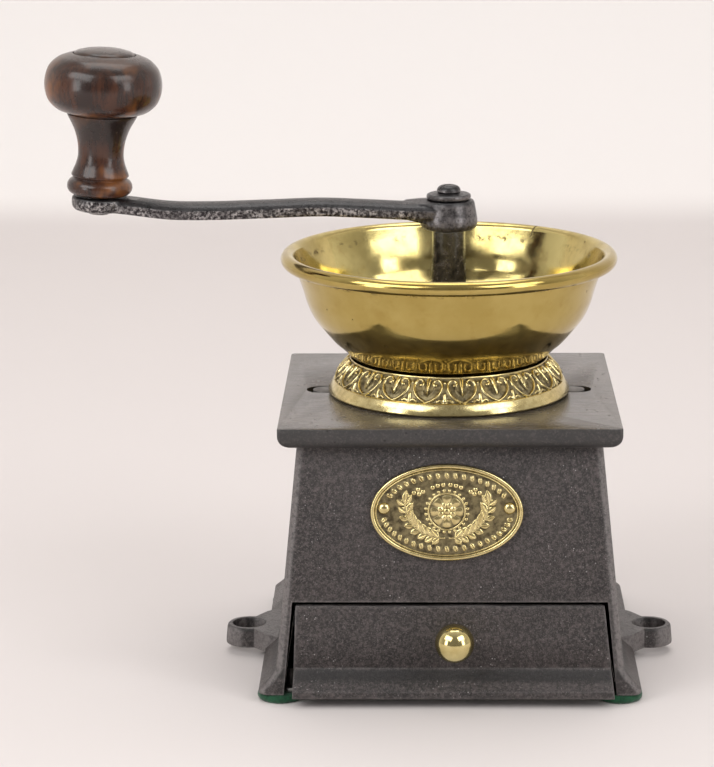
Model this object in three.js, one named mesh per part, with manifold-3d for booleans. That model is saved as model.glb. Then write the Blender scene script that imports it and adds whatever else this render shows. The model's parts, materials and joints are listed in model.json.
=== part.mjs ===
// Antique box coffee mill: a cast iron case with a drawer, a brass hopper and a hand crank.
// Lengths are in millimetres. The origin is on the spindle's axis, level with the underside
// of the base. The front is -Y, up is +Z, and the crank arm points along -X.
import * as THREE from 'three';
import { mergeVertices } from 'three/addons/utils/BufferGeometryUtils.js';
import Module from 'manifold-3d';

const wasm = await Module();
wasm.setup();

// ---------------------------------------------------------------- driving dimensions

const GAP = 0.3;                   // clearance between neighbouring pieces
const ROUND = 28;                  // facets round a large turned piece
const FINE = 12;                   // facets round a small turned piece

const PLATE = { halfWidth: 57, halfDepth: 56.5, thickness: 7.3, top: 91.4, edge: 4.5, hole: 34 };
const CASE = { halfWidth: 50.82, halfDepth: 50.27, lean: 0.099, wall: 3.1, corner: 3 };
const FLARE = { height: 9, out: 5.2, rim: 1.6 };
const OPENING = { top: 31.6, lip: 0.25 };
const LUG = { x: 70.4, hole: 5.75, outer: 8.2, height: 6.7 };
const PAD = { x: 57, y: 51.5, radius: 7.9, height: 3 };
const BASE = { thickness: 1.2, screwX: 53, screwY: 50, bead: 22, beadWidth: 1.6, beadDepth: 0.4 };
const CORNER_SCREW = { x: 43, y: 42.5, lug: 5.8, height: 6.3 };

const DRAWER = { top: 30.2, bottom: 0.4, halfTop: 51.6, halfBottom: 54.9, thickness: 3, flare: 5.9 };
const TRAY = { halfWidth: 49.5, back: 45, bottom: 1.5, top: 26, sheet: 0.9, hem: 1.4 };
const TRAY_SCREW = { x: 30, z: 13 };
const DRAWER_KNOB = { x: 1.5, up: 19.9, radius: 6.6, reach: 9.3, stem: 1.9 };

const BADGE = { x: -1, up: 62.37, halfWidth: 25.4, halfHeight: 16.25, sheet: 1, rim: 1.9 };
const BADGE_RIVET = { x: 20.8, up: 1.4, radius: 1.2, head: 1.9 };

const SPINDLE = { foot: 46.7, core: 5, body: 6.3, top: 5.65, shoulder: 147.7, end: 157, tang: 8 };
const CONE = { bottom: 45.8, top: 77.9, bottomRadius: 18.4, topRadius: 7.4, ribs: 10 };
const SHELL = { flange: 33.4, throat: 23.5, teeth: 19.2, bottom: 44, earTip: 47, earHalf: 4 };
const BRIDGE = { bottom: 39.7, top: 43.7, halfLength: 30.5, halfWidth: 5.5, screwX: 26 };
const ADJUSTER = { radius: 3, headBottom: 29.3, headTop: 32.3, top: 44.3 };

const BOSS = { bottom: 148, top: 158, lower: 9.9, upper: 8.4 };
const ARM = { halfWidth: 6, side: 3.4, crown: 2.2, padRadius: 9.4, padDepth: 5.1 };
const GRIP = { x: -119.5, z: 160, tiltDegrees: 3.5, bore: 3.6 };

const RIM = { radius: 55.2, z: 137.97, roll: 2.46 };
const BOWL = { base: PLATE.top + GAP, sheet: 1, foot: 31, screwAt: 27 };
const RING = { radius: 41.65, band: 3.7, sheet: 1 };

// ---------------------------------------------------------------- values worked out from them

const caseTop = PLATE.top - PLATE.thickness;
const caseHalfWidth = (z) => CASE.halfWidth + (caseTop - z) * CASE.lean;
const caseHalfDepth = (z) => CASE.halfDepth + (caseTop - z) * CASE.lean;
const frontFace = (z) => -caseHalfDepth(z);
const lean = Math.atan(CASE.lean);

// ---------------------------------------------------------------- solid modelling helpers

// Turns a closed three.js geometry into a manifold solid.
function solid(geometry) {
  const bare = geometry.clone();
  bare.deleteAttribute('normal');
  bare.deleteAttribute('uv');
  const merged = mergeVertices(bare, 1e-4);
  const corners = merged.index.array;
  const kept = [];
  for (let i = 0; i < corners.length; i += 3) {
    const [a, b, c] = [corners[i], corners[i + 1], corners[i + 2]];
    if (a !== b && b !== c && c !== a) kept.push(a, b, c);
  }
  const vertProperties = new Float32Array(merged.attributes.position.array);
  const triVerts = new Uint32Array(kept);
  return new wasm.Manifold(new wasm.Mesh({ numProp: 3, vertProperties, triVerts }));
}

// Turns a manifold solid back into a three.js geometry.
function surface(body) {
  const mesh = body.getMesh();
  const geometry = new THREE.BufferGeometry();
  geometry.setAttribute('position', new THREE.BufferAttribute(new Float32Array(mesh.vertProperties), 3));
  geometry.setIndex(new THREE.BufferAttribute(new Uint32Array(mesh.triVerts), 1));
  return geometry;
}

const join = (first, ...others) => others.reduce((body, other) => body.add(other), first);
const cut = (first, ...others) => others.reduce((body, other) => body.subtract(other), first);

// A solid of revolution about Z. The profile is [radius, z] pairs, from axis to axis upwards on
// the outside, or a closed loop that runs up the outside and down the inside.
function turned(profile, facets = ROUND) {
  const points = profile.map(([radius, z]) => new THREE.Vector2(radius, z));
  const onAxis = profile[0][0] === 0;
  if (!onAxis) points.push(points[0].clone());
  return solid(new THREE.LatheGeometry(points, facets).rotateX(Math.PI / 2));
}

function cylinder(radius, bottom, top, facets = FINE) {
  return turned([[0, bottom], [radius, bottom], [radius, top], [0, top]], facets);
}

function box(low, high) {
  const size = high.map((value, axis) => value - low[axis]);
  const geometry = new THREE.BoxGeometry(...size);
  geometry.translate(...low.map((value, axis) => value + size[axis] / 2));
  return solid(geometry);
}

// Extrudes an outline in equal layers, then moves each point to place(u, v, layer).
function layered(outline, layers, place, curveSegments = 3) {
  const settings = { depth: layers, steps: layers, bevelEnabled: false, curveSegments };
  const geometry = new THREE.ExtrudeGeometry(outline, settings);
  const position = geometry.attributes.position;
  for (let i = 0; i < position.count; i += 1) {
    const layer = Math.round(position.getZ(i));
    position.setXYZ(i, ...place(position.getX(i), position.getY(i), layer));
  }
  return solid(geometry);
}

function extruded(outline, bottom, top, curveSegments = 6) {
  return layered(outline, 1, (u, v, layer) => [u, v, layer ? top : bottom], curveSegments);
}

function roundedRectangle(halfX, halfY, radius) {
  const shape = new THREE.Shape();
  shape.absarc(halfX - radius, halfY - radius, radius, 0, Math.PI / 2);
  shape.absarc(radius - halfX, halfY - radius, radius, Math.PI / 2, Math.PI);
  shape.absarc(radius - halfX, radius - halfY, radius, Math.PI, Math.PI * 1.5);
  shape.absarc(halfX - radius, radius - halfY, radius, Math.PI * 1.5, Math.PI * 2);
  shape.closePath();
  return shape;
}

// A four-sided block whose outline grows outwards by [side, back, front] at each level z.
function flared(halfX, halfY, radius, levels) {
  const place = (x, y, layer) => {
    const [z, side, back, front] = levels[layer];
    return [x + Math.sign(x) * side, y + (y > 0 ? back : -front), z];
  };
  return layered(roundedRectangle(halfX, halfY, radius), levels.length - 1, place);
}

function polygon(points) {
  return new THREE.Shape(points.map(([u, v]) => new THREE.Vector2(u, v)));
}

// Moves a profile sideways by a distance, to its left as it runs, with mitred corners.
function offsetProfile(profile, distance) {
  return profile.map(([x, y], i) => {
    const before = profile[Math.max(i - 1, 0)];
    const after = profile[Math.min(i + 1, profile.length - 1)];
    const inward = [before, after].map(([px, py], side) => {
      const [dx, dy] = side ? [px - x, py - y] : [x - px, y - py];
      const length = Math.hypot(dx, dy);
      return length > 0 ? [-dy / length, dx / length] : null;
    });
    const [first, second] = [inward[0] ?? inward[1], inward[1] ?? inward[0]];
    const scale = distance / (1 + first[0] * second[0] + first[1] * second[1]);
    return [x + (first[0] + second[0]) * scale, y + (first[1] + second[1]) * scale];
  });
}

function smoothProfile(points, steps) {
  const curve = new THREE.SplineCurve(points.map(([u, v]) => new THREE.Vector2(u, v)));
  return curve.getPoints(steps).map((point) => [point.x, point.y]);
}

function arcProfile(centre, radius, startDegrees, endDegrees, steps) {
  return Array.from({ length: steps + 1 }, (_, i) => {
    const angle = THREE.MathUtils.degToRad(startDegrees + ((endDegrees - startDegrees) * i) / steps);
    return [centre[0] + radius * Math.cos(angle), centre[1] + radius * Math.sin(angle)];
  });
}

// A slotted screw along Z whose head bears at z = 0 and whose shank points down.
function slottedScrew({ shank, length, head, height, slot = 1.1 }) {
  const dome = arcProfile([0, 0], 1, 0, 90, 2).map(([u, v]) => [head * (0.35 + 0.65 * u), height * v]);
  const profile = [[0, -length], [shank, -length], [shank, 0], [head, 0], ...dome, [0, height]];
  const blank = turned(profile, 10);
  return blank.subtract(box([-head - 1, -slot / 2, height * 0.45], [head + 1, slot / 2, height + 1]));
}

// A countersunk screw along Z whose flat head is level with z = 0 and whose shank points down.
function countersunkScrew({ shank, length, head, slot = 0.9 }) {
  const sink = head - shank + 0.3;
  const profile = [[0, -length], [shank, -length], [shank, -sink], [head, -0.3], [head, 0], [0, 0]];
  const depth = sink * 0.4;
  return turned(profile, 10).subtract(box([-head - 1, -slot / 2, -depth], [head + 1, slot / 2, 1]));
}

// The hole that leaves GAP round a countersunk screw.
function countersink({ shank, length, head }) {
  const [wide, narrow] = [head + GAP, shank + GAP];
  const sink = head - shank + 0.3 + GAP;
  const profile = [[0, -length - 1], [narrow, -length - 1], [narrow, -sink], [wide, -0.3], [wide, 1], [0, 1]];
  return turned(profile, 10);
}

function hexagon(acrossFlats) {
  const radius = acrossFlats / Math.sqrt(3);
  return polygon(arcProfile([0, 0], radius, 0, 300, 5));
}

const flip = (body) => body.rotate([180, 0, 0]);

// ---------------------------------------------------------------- groups and materials

const mill = new THREE.Group();

// The sloped front: Z runs up the face from the base line, and -Y points straight out of it.
const front = new THREE.Group();
front.position.set(0, frontFace(0), 0);
front.rotation.x = -lean;
mill.add(front);

// The grip leans a little towards the mill. Z runs up its pin from the top of the crank's pad.
const gripAxis = new THREE.Group();
gripAxis.position.set(GRIP.x, 0, GRIP.z);
gripAxis.rotation.y = THREE.MathUtils.degToRad(GRIP.tiltDegrees);
mill.add(gripAxis);

// Carries a solid made in a group's own frame over to the mill's frame.
function inMillFrame(body, group) {
  group.updateMatrix();
  return body.transform(group.matrix.elements);
}

// Aims a solid made along +Z so that it points straight out of the sloped front.
const outward = (body) => body.rotate([90, 0, 0]);

function finish(color, roughness, metalness) {
  return new THREE.MeshStandardMaterial({ color, roughness, metalness });
}

const IRON_BLACK = [0x2b282a, 0.62, 0.35];
const IRON_WORN = [0x4a4545, 0.55, 0.5];
const IRON_CRANK = [0x39373a, 0.45, 0.6];
const IRON_GREY = [0x5a5858, 0.6, 0.7];
const STEEL = [0x77736e, 0.45, 0.9];
const BRASS = [0xc9a24a, 0.2, 1];
const BRASS_AGED = [0xa8843e, 0.35, 1];
const TINPLATE = [0xa7a7a3, 0.4, 0.9];
const BRONZE = [0x9a6b3c, 0.4, 0.9];
const WALNUT = [0x4a2417, 0.35, 0];
const FELT = [0x1f6a41, 0.95, 0];

function add(name, look, body, parent = mill) {
  const mesh = new THREE.Mesh(surface(body), finish(...look));
  mesh.name = name;
  parent.add(mesh);
  return mesh;
}

// ---------------------------------------------------------------- case and base

const cornerScrew = { shank: 2, length: 10.5, head: 3.8, height: 2.2 };
const baseScrew = { shank: 1.5, length: 7, head: 2.6 };
const shellScrew = { shank: 1.6, length: 5, head: 2.8 };
const hopperScrew = { shank: 1.5, length: 6, head: 2.7, height: 1.6 };
const bridgeScrew = { shank: 1.5, length: 10, head: 2.9, height: 2 };
const trayScrew = { shank: 1.4, length: 3, head: 2.6, height: 1.4 };

const sides = [['left', -1], ['right', 1]];
const corners = sides.flatMap(([name, x]) => [[`front_${name}`, x, -1], [`back_${name}`, x, 1]]);

function lugOutline() {
  const shape = new THREE.Shape();
  const root = caseHalfWidth(0) - 0.6;
  const neck = caseHalfWidth(0) + FLARE.out - 0.6;
  shape.moveTo(root, -15);
  shape.lineTo(neck, -14);
  shape.quadraticCurveTo(neck + 1.6, -LUG.outer - 0.6, LUG.x, -LUG.outer);
  shape.absarc(LUG.x, 0, LUG.outer, -Math.PI / 2, Math.PI / 2);
  shape.quadraticCurveTo(neck + 1.6, LUG.outer + 0.6, neck, 14);
  shape.lineTo(root, 15);
  shape.closePath();
  return shape;
}

function makeCase() {
  const grow = (z) => (caseTop - z) * CASE.lean;
  const levels = Array.from({ length: 6 }, (_, i) => {
    const z = i === 0 ? 0 : FLARE.rim + ((FLARE.height - FLARE.rim) * (i - 1)) / 4;
    const reach = Math.min((FLARE.height - z) / (FLARE.height - FLARE.rim), 1);
    const flare = FLARE.out * reach ** 1.35;
    return [z, grow(z) + flare, grow(z) + flare, grow(z)];
  });
  levels.push([caseTop, 0, 0, 0]);
  const outside = flared(CASE.halfWidth, CASE.halfDepth, CASE.corner, levels);

  const [innerX, innerY] = [CASE.halfWidth - CASE.wall, CASE.halfDepth - CASE.wall];
  const hollowLevels = [-1, caseTop + 1].map((z) => [z, grow(z), grow(z), grow(z)]);
  const hollow = flared(innerX, innerY, 1.5, hollowLevels);

  const opening = (z) => caseHalfWidth(z) - CASE.wall - OPENING.lip;
  const doorway = polygon([
    [-opening(-1), -1], [opening(-1), -1], [opening(OPENING.top), OPENING.top],
    [-opening(OPENING.top), OPENING.top],
  ]);
  const doorwayCut = extruded(doorway, 40, 80).rotate([90, 0, 0]);

  let body = cut(outside, hollow, doorwayCut);
  for (const [, side] of sides) {
    const lug = extruded(lugOutline(), 0, LUG.height, 5);
    const hole = cylinder(LUG.hole, -1, LUG.height + 1, 20).translate([LUG.x, 0, 0]);
    const ear = cut(lug, hole);
    body = body.add(side < 0 ? ear.rotate([0, 0, 180]) : ear);
  }
  const cornerLug = extruded(roundedRectangle(CORNER_SCREW.lug, CORNER_SCREW.lug, 3), 0, CORNER_SCREW.height);
  const cornerHole = cylinder(cornerScrew.shank + GAP, -1, CORNER_SCREW.height + 1);
  for (const [, x, y] of corners) {
    const at = [x * CORNER_SCREW.x, y * CORNER_SCREW.y, caseTop - CORNER_SCREW.height];
    body = body.add(cornerLug.translate(at)).subtract(cornerHole.translate(at));
  }
  const floorBoss = cylinder(2.9, BASE.thickness + GAP, 9);
  const floorHole = cylinder(baseScrew.shank + GAP, 0, 7.6);
  for (const [, x, y] of corners) {
    const at = [x * BASE.screwX, y * BASE.screwY, 0];
    body = body.add(floorBoss.translate(at)).subtract(floorHole.translate(at));
  }
  const rivetHole = outward(cylinder(BADGE_RIVET.radius + GAP, -8, 8));
  for (const [, side] of sides) {
    const at = [BADGE.x + side * BADGE_RIVET.x, 0, BADGE.up + BADGE_RIVET.up];
    body = body.subtract(inMillFrame(rivetHole.translate(at), front));
  }
  return body;
}

function makeBasePlate() {
  const halfX = caseHalfWidth(BASE.thickness) - CASE.wall - GAP;
  const halfY = caseHalfDepth(BASE.thickness) - CASE.wall - GAP;
  const blank = extruded(roundedRectangle(halfX, halfY, 1.6), 0, BASE.thickness, 4);
  const holes = corners.map(([, x, y]) => {
    return flip(countersink(baseScrew)).translate([x * BASE.screwX, y * BASE.screwY, 0]);
  });
  // A pressed bead stiffens the sheet round a flat disc in the middle of its underside.
  const outer = BASE.bead + BASE.beadWidth;
  const profile = [[outer, -1], [outer, BASE.beadDepth], [BASE.bead, BASE.beadDepth], [BASE.bead, -1]];
  return cut(blank, turned(profile), ...holes);
}

add('body_casting', IRON_BLACK, makeCase());
add('base_plate', TINPLATE, makeBasePlate());
for (const [name, x, y] of corners) {
  const screw = flip(countersunkScrew(baseScrew)).translate([x * BASE.screwX, y * BASE.screwY, 0]);
  add(`base_plate_screw_${name}`, STEEL, screw);
  const pad = turned([[0, -PAD.height], [PAD.radius, -PAD.height], [PAD.radius, 0], [0, 0]], 16);
  add(`felt_pad_${name}`, FELT, pad.translate([x * PAD.x, y * PAD.y, 0]));
}

// ---------------------------------------------------------------- top plate

function makeTopPlate() {
  const bottomEdge = Array.from({ length: 6 }, (_, i) => {
    const angle = ((i / 5) * Math.PI) / 2;
    const inset = PLATE.edge * (1 - Math.sin(angle));
    return [caseTop + PLATE.edge * (1 - Math.cos(angle)), -inset, -inset, -inset];
  });
  const levels = [...bottomEdge, [PLATE.top, 0, 0, 0]];
  const blank = flared(PLATE.halfWidth, PLATE.halfDepth, 0.8, levels);
  const throat = cylinder(PLATE.hole, caseTop - 1, PLATE.top + 1, ROUND);
  const notchHalf = SHELL.earHalf + 0.8;
  const notchEnd = SHELL.earTip + 2.2;
  const notch = extruded(roundedRectangle(notchEnd, notchHalf, notchHalf), PLATE.top - 3, PLATE.top + 1, 4);
  const cornerHole = cylinder(cornerScrew.shank + GAP, caseTop - 1, caseTop + 4.7);
  const screwHole = cylinder(shellScrew.shank + GAP, PLATE.top - shellScrew.length - 0.4, PLATE.top);
  return cut(
    blank, throat, notch,
    ...corners.map(([, x, y]) => cornerHole.translate([x * CORNER_SCREW.x, y * CORNER_SCREW.y, 0])),
    ...sides.map(([, x]) => screwHole.translate([x * 37.5, 0, 0])),
  );
}

add('top_plate', IRON_WORN, makeTopPlate());
for (const [name, x, y] of corners) {
  const seat = caseTop - CORNER_SCREW.height - 0.2;
  const screw = flip(slottedScrew(cornerScrew)).translate([x * CORNER_SCREW.x, y * CORNER_SCREW.y, seat]);
  add(`top_plate_screw_${name}`, STEEL, screw);
}

// ---------------------------------------------------------------- grinding shell and bridge

// Sharp grooves round the bore, cut with a star that reaches a little past the bore's wall.
function starOutline(points, inner, outer) {
  return polygon(Array.from({ length: points * 2 }, (_, i) => {
    const radius = i % 2 ? inner : outer;
    const angle = (i * Math.PI) / points;
    return [radius * Math.cos(angle), radius * Math.sin(angle)];
  }));
}

function makeShell() {
  const profile = [
    [SHELL.teeth, SHELL.bottom], [24.2, SHELL.bottom], [25.2, 62], [26.8, 80], [29.2, caseTop - 0.8],
    [SHELL.flange, caseTop + 0.5], [SHELL.flange, PLATE.top], [SHELL.throat, PLATE.top],
    [SHELL.throat, 84], [22, 74], [SHELL.teeth, 60],
  ];
  const wall = turned(profile);
  const ear = extruded(roundedRectangle(SHELL.earTip, SHELL.earHalf, SHELL.earHalf),
    PLATE.top - 2.7, PLATE.top, 4);
  const ears = ear.subtract(cylinder(SHELL.flange - 2, 80, PLATE.top + 1, ROUND));
  const bar = box([-SHELL.throat - 1.5, -4.5, 84.2], [SHELL.throat + 1.5, 4.5, 91.1]);
  const hub = cylinder(10.5, 84.2, PLATE.top);
  const feet = sides.map(([, x]) => {
    const span = [20.6, 30.5].map((value) => value * x).sort((a, b) => a - b);
    return box([span[0], -BRIDGE.halfWidth, SHELL.bottom], [span[1], BRIDGE.halfWidth, 52]);
  });
  const grooves = layered(starOutline(24, SHELL.teeth - 0.25, SHELL.teeth + 1.8), 1,
    (u, v, layer) => [u, v, layer ? 60 : SHELL.bottom - 1]);
  const spindleHole = cylinder(SPINDLE.body + 0.4, 80, 95);
  const earHole = countersink(shellScrew);
  const screwHole = cylinder(hopperScrew.shank + GAP, PLATE.top - hopperScrew.length, PLATE.top + 1);
  const footHole = cylinder(bridgeScrew.shank + GAP, SHELL.bottom - 1, 50.6);
  return cut(
    join(wall, ears, bar, hub, ...feet), grooves, spindleHole,
    ...sides.map(([, x]) => earHole.translate([x * 37.5, 0, PLATE.top])),
    ...sides.map(([, y]) => screwHole.translate([0, y * BOWL.screwAt, 0])),
    ...sides.map(([, x]) => footHole.translate([x * BRIDGE.screwX, 0, 0])),
  );
}

function makeBridge() {
  const bar = extruded(roundedRectangle(BRIDGE.halfLength, BRIDGE.halfWidth, 2), BRIDGE.bottom, BRIDGE.top);
  const boss = cylinder(7.5, 36.5, BRIDGE.top);
  const thread = cylinder(ADJUSTER.radius + GAP, 30, 50);
  const hole = cylinder(bridgeScrew.shank + GAP, 30, 50);
  return cut(join(bar, boss), thread, ...sides.map(([, x]) => hole.translate([x * BRIDGE.screwX, 0, 0])));
}

function makeAdjuster() {
  const profile = [
    [0, ADJUSTER.headBottom], [5.6, ADJUSTER.headBottom], [6, ADJUSTER.headBottom + 0.5],
    [6, ADJUSTER.headTop], [ADJUSTER.radius, ADJUSTER.headTop], [ADJUSTER.radius, ADJUSTER.top],
    [0, ADJUSTER.top],
  ];
  const slot = box([-7, -0.7, ADJUSTER.headBottom - 1], [7, 0.7, ADJUSTER.headBottom + 1.4]);
  return turned(profile, FINE).subtract(slot);
}

add('grinding_shell', IRON_GREY, makeShell());
add('bottom_bridge', IRON_GREY, makeBridge());
for (const [name, x] of sides) {
  add(`shell_screw_${name}`, STEEL, countersunkScrew(shellScrew).translate([x * 37.5, 0, PLATE.top]));
  const screw = flip(slottedScrew(bridgeScrew)).translate([x * BRIDGE.screwX, 0, BRIDGE.bottom - 0.2]);
  add(`bridge_screw_${name}`, STEEL, screw);
}
add('adjusting_screw', STEEL, makeAdjuster());
const nutHole = cylinder(ADJUSTER.radius + GAP, 30, 40);
add('adjusting_locknut', STEEL, extruded(hexagon(10), 33.3, 36.2).subtract(nutHole));
add('footstep_pad', BRONZE, cylinder(4.4, ADJUSTER.top + GAP, SPINDLE.foot - GAP));

// ---------------------------------------------------------------- spindle and grinding cone

const crossPin = { z: 70, radius: 1.2, halfLength: 8.2 };
const crossHole = cylinder(crossPin.radius + GAP, -30, 30, 12).rotate([90, 0, 0]);

function makeSpindle() {
  const shaft = turned([
    [0, SPINDLE.foot], [3, SPINDLE.foot], [SPINDLE.core, SPINDLE.foot + 2],
    [SPINDLE.core, CONE.top + GAP], [SPINDLE.body - 0.4, CONE.top + GAP], [SPINDLE.body, CONE.top + 1],
    [SPINDLE.body, 112], [6, 130], [SPINDLE.top, 144], [SPINDLE.top, SPINDLE.shoulder],
    [0, SPINDLE.shoulder],
  ], 16);
  const half = SPINDLE.tang / 2;
  const tang = box([-half, -half, SPINDLE.shoulder - 1], [half, half, SPINDLE.end]);
  const screwHole = cylinder(2.3, 146, SPINDLE.end + 1);
  return cut(join(shaft, tang), screwHole, crossHole.translate([0, 0, crossPin.z]));
}

function makeCone() {
  const layers = 8;
  const outline = polygon(Array.from({ length: CONE.ribs * 4 }, (_, i) => {
    const radius = [1, 1, 0.84, 0.84][i % 4];
    const angle = ((i + [0, -0.45, 0, 0.2][i % 4]) * Math.PI * 2) / (CONE.ribs * 4);
    return [radius * Math.cos(angle), radius * Math.sin(angle)];
  }));
  const place = (u, v, layer) => {
    const t = layer / layers;
    const z = CONE.bottom + (CONE.top - CONE.bottom) * t;
    const narrowing = t < 0.2 ? 0.15 * t : 0.03 + (0.97 * (t - 0.2)) / 0.8;
    const radius = CONE.bottomRadius + (CONE.topRadius - CONE.bottomRadius) * narrowing;
    const turn = t * 1.3;
    const [x, y] = [u * Math.cos(turn) - v * Math.sin(turn), u * Math.sin(turn) + v * Math.cos(turn)];
    return [x * radius, y * radius, z];
  };
  const bore = cylinder(SPINDLE.core + GAP, CONE.bottom - 1, CONE.top + 1);
  return cut(layered(outline, layers, place), bore, crossHole.translate([0, 0, crossPin.z]));
}

add('spindle', STEEL, makeSpindle());
add('grinding_cone', IRON_GREY, makeCone());
const pinBody = cylinder(crossPin.radius, -crossPin.halfLength, crossPin.halfLength, 12);
add('cone_pin', STEEL, pinBody.rotate([90, 0, 0]).translate([0, 0, crossPin.z]));

// ---------------------------------------------------------------- hopper

const neck = [33.2, 103.7];

function makeBowl() {
  const foot = [[SHELL.throat, BOWL.base], [BOWL.foot, BOWL.base], [BOWL.foot + 0.1, 97.5], [31.9, 101.6]];
  const belly = smoothProfile([neck, [37.1, 107.6], [40.4, 110.6], [46.1, 117.6], [48.7, 122.9],
    [50.5, 128.9], [53.2, 136.5]], 6);
  const outside = [...foot, ...belly];
  const inside = offsetProfile(outside, BOWL.sheet).reverse().slice(1);
  const roll = arcProfile([RIM.radius, RIM.z], RIM.roll, 215, 525, 6).slice(1);
  const wall = turned([...outside.slice(0, -1), ...roll, ...inside], 32);
  const hole = cylinder(hopperScrew.shank + GAP, 90, 95, 12);
  return cut(wall, ...sides.map(([, y]) => hole.translate([0, y * BOWL.screwAt, 0])));
}

function makeFootRing() {
  const base = PLATE.top + GAP;
  const outside = [
    [RING.radius, base], [RING.radius, base + RING.band], [40.7, 96.1], [38.6, 98.6], [35.9, 101],
    [33.6, 103.3],
  ];
  return turned([...outside, ...offsetProfile(outside, RING.sheet).reverse()], 32);
}

add('hopper_bowl', BRASS, makeBowl());
add('hopper_foot_ring', BRASS_AGED, makeFootRing());
for (const [name, y] of [['front', -1], ['back', 1]]) {
  const seat = BOWL.base + BOWL.sheet + 0.1;
  add(`hopper_screw_${name}`, STEEL, slottedScrew(hopperScrew).translate([0, y * BOWL.screwAt, seat]));
}

// ---------------------------------------------------------------- crank

// The arm's bottom line: it sways in an S seen from above and rises to the pad under the grip.
const armLine = new THREE.CatmullRomCurve3([
  [-1, -1.2, 151.9], [-14, -2.4, 152.2], [-28, 0.2, 152.4], [-44, 3, 152.5], [-62, 0.2, 152.4],
  [-80, -2.9, 152.4], [-95, -2.4, 152.5], [-108, -1, 153.8], [-119.5, 0, 155],
].map((point) => new THREE.Vector3(...point)));

function makeArm() {
  const top = ARM.side + ARM.crown;
  const section = polygon([
    [-ARM.halfWidth + 0.5, 0], [ARM.halfWidth - 0.5, 0], [ARM.halfWidth, 0.6],
    [ARM.halfWidth, ARM.side], [5.1, top - 1.1], [3, top - 0.3], [0, top], [-3, top - 0.3],
    [-5.1, top - 1.1], [-ARM.halfWidth, ARM.side], [-ARM.halfWidth, 0.6],
  ]);
  const layers = 14;
  // The section is carried from the pad towards the boss, along +X.
  const bar = layered(section, layers, (u, v, layer) => {
    const point = armLine.getPointAt(1 - layer / layers);
    const ends = (2 * layer) / layers - 1;
    return [point.x, point.y + u * (1 + 0.12 * ends ** 4), point.z + v];
  });
  const boss = turned([
    [0, BOSS.bottom], [8.4, BOSS.bottom], [9.3, BOSS.bottom + 0.4], [BOSS.lower, BOSS.bottom + 1.6],
    [9.5, BOSS.bottom + 5], [BOSS.upper + 0.4, BOSS.top - 0.5], [BOSS.upper, BOSS.top], [0, BOSS.top],
  ], 20);
  const padTop = -GAP;
  const padBottom = padTop - ARM.padDepth;
  const pad = turned([
    [0, padBottom], [ARM.padRadius - 2, padBottom], [ARM.padRadius - 0.5, padBottom + 0.7],
    [ARM.padRadius, padBottom + 2],
    [ARM.padRadius, padTop - 0.8], [ARM.padRadius - 0.8, padTop], [0, padTop],
  ], 20);
  const pinHole = inMillFrame(cylinder(3.2 + GAP, -20, 5), gripAxis);
  const half = SPINDLE.tang / 2 + GAP;
  const tangHole = box([-half, -half, BOSS.bottom - 1], [half, half, BOSS.top + 1]);
  const padSpace = inMillFrame(cylinder(16, padTop, 20), gripAxis);
  return cut(join(bar, boss, inMillFrame(pad, gripAxis)), tangHole, padSpace, pinHole);
}

const washer = [BOSS.top + 0.2, BOSS.top + 2.5];
const crankScrew = { shank: 2, length: 12, head: 4.1, height: 2.4, slot: 1.3 };
const washerRing = turned([
  [2.3, washer[0]], [7.2, washer[0]], [7.6, washer[0] + 0.4], [7.6, washer[1] - 0.5],
  [7.1, washer[1]], [2.3, washer[1]],
], 16);

add('crank_arm', IRON_CRANK, makeArm());
add('crank_washer', IRON_CRANK, washerRing);
add('crank_screw', STEEL, slottedScrew(crankScrew).rotate([0, 0, 35]).translate([0, 0, washer[1] + 0.2]));

// ---------------------------------------------------------------- grip

function makeGrip() {
  const bead = arcProfile([8.4, 3.2], 2.8, -90, 60, 3);
  const stem = smoothProfile([[9.65, 6.3], [8.6, 8.6], [7.7, 13.6], [8.3, 18.5], [9.9, 23.3], [11.9, 27.6]], 6);
  const cap = smoothProfile([[12.6, 28.1], [16.2, 29.9], [18.9, 32.6], [20.2, 37.9], [19.5, 42],
    [17.2, 45.4], [14, 47.6], [10.8, 48.6]], 8);
  const plugSeat = [[10.7, 46.6], [6.5, 46.6], [6.5, 43.3], [GRIP.bore, 43.3], [GRIP.bore, 0.1]];
  return turned([...bead, ...stem, ...cap, ...plugSeat], 24);
}

const pinProfile = [
  [0, -6.6], [3.4, -6.5], [4.6, -5.7], [3.2, -5.7], [3.2, 43.6], [6, 43.6], [6, 45.2], [5.2, 46.2], [0, 46.5],
];
const plugProfile = [[0, 46.9], [10.4, 46.9], [10.4, 48.4], [9.6, 49.4], [6, 50.2], [0, 50.6]];

add('knob_grip', WALNUT, makeGrip(), gripAxis);
add('knob_pin', STEEL, turned(pinProfile, FINE), gripAxis);
add('knob_plug', WALNUT, turned(plugProfile, 20), gripAxis);

// ---------------------------------------------------------------- badge on the sloped front

function ellipse(halfWidth, halfHeight) {
  const shape = new THREE.Shape();
  shape.absellipse(0, 0, halfWidth, halfHeight, 0, Math.PI * 2);
  return shape;
}

function makeBadge() {
  const whole = ellipse(BADGE.halfWidth, BADGE.halfHeight);
  const inside = ellipse(BADGE.halfWidth - 1.8, BADGE.halfHeight - 1.8);
  const middle = ellipse(15.5, 9.5);
  const rim = extruded(whole, 0, BADGE.rim, 14).subtract(extruded(inside, -1, 3, 14));
  const plate = join(extruded(whole, 0, BADGE.sheet, 14), rim, extruded(middle, 0, 1.6, 8));
  const hole = cylinder(BADGE_RIVET.radius + GAP, -1, 4, 16);
  return cut(plate, ...sides.map(([, x]) => hole.translate([x * BADGE_RIVET.x, BADGE_RIVET.up, 0])));
}

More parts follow.
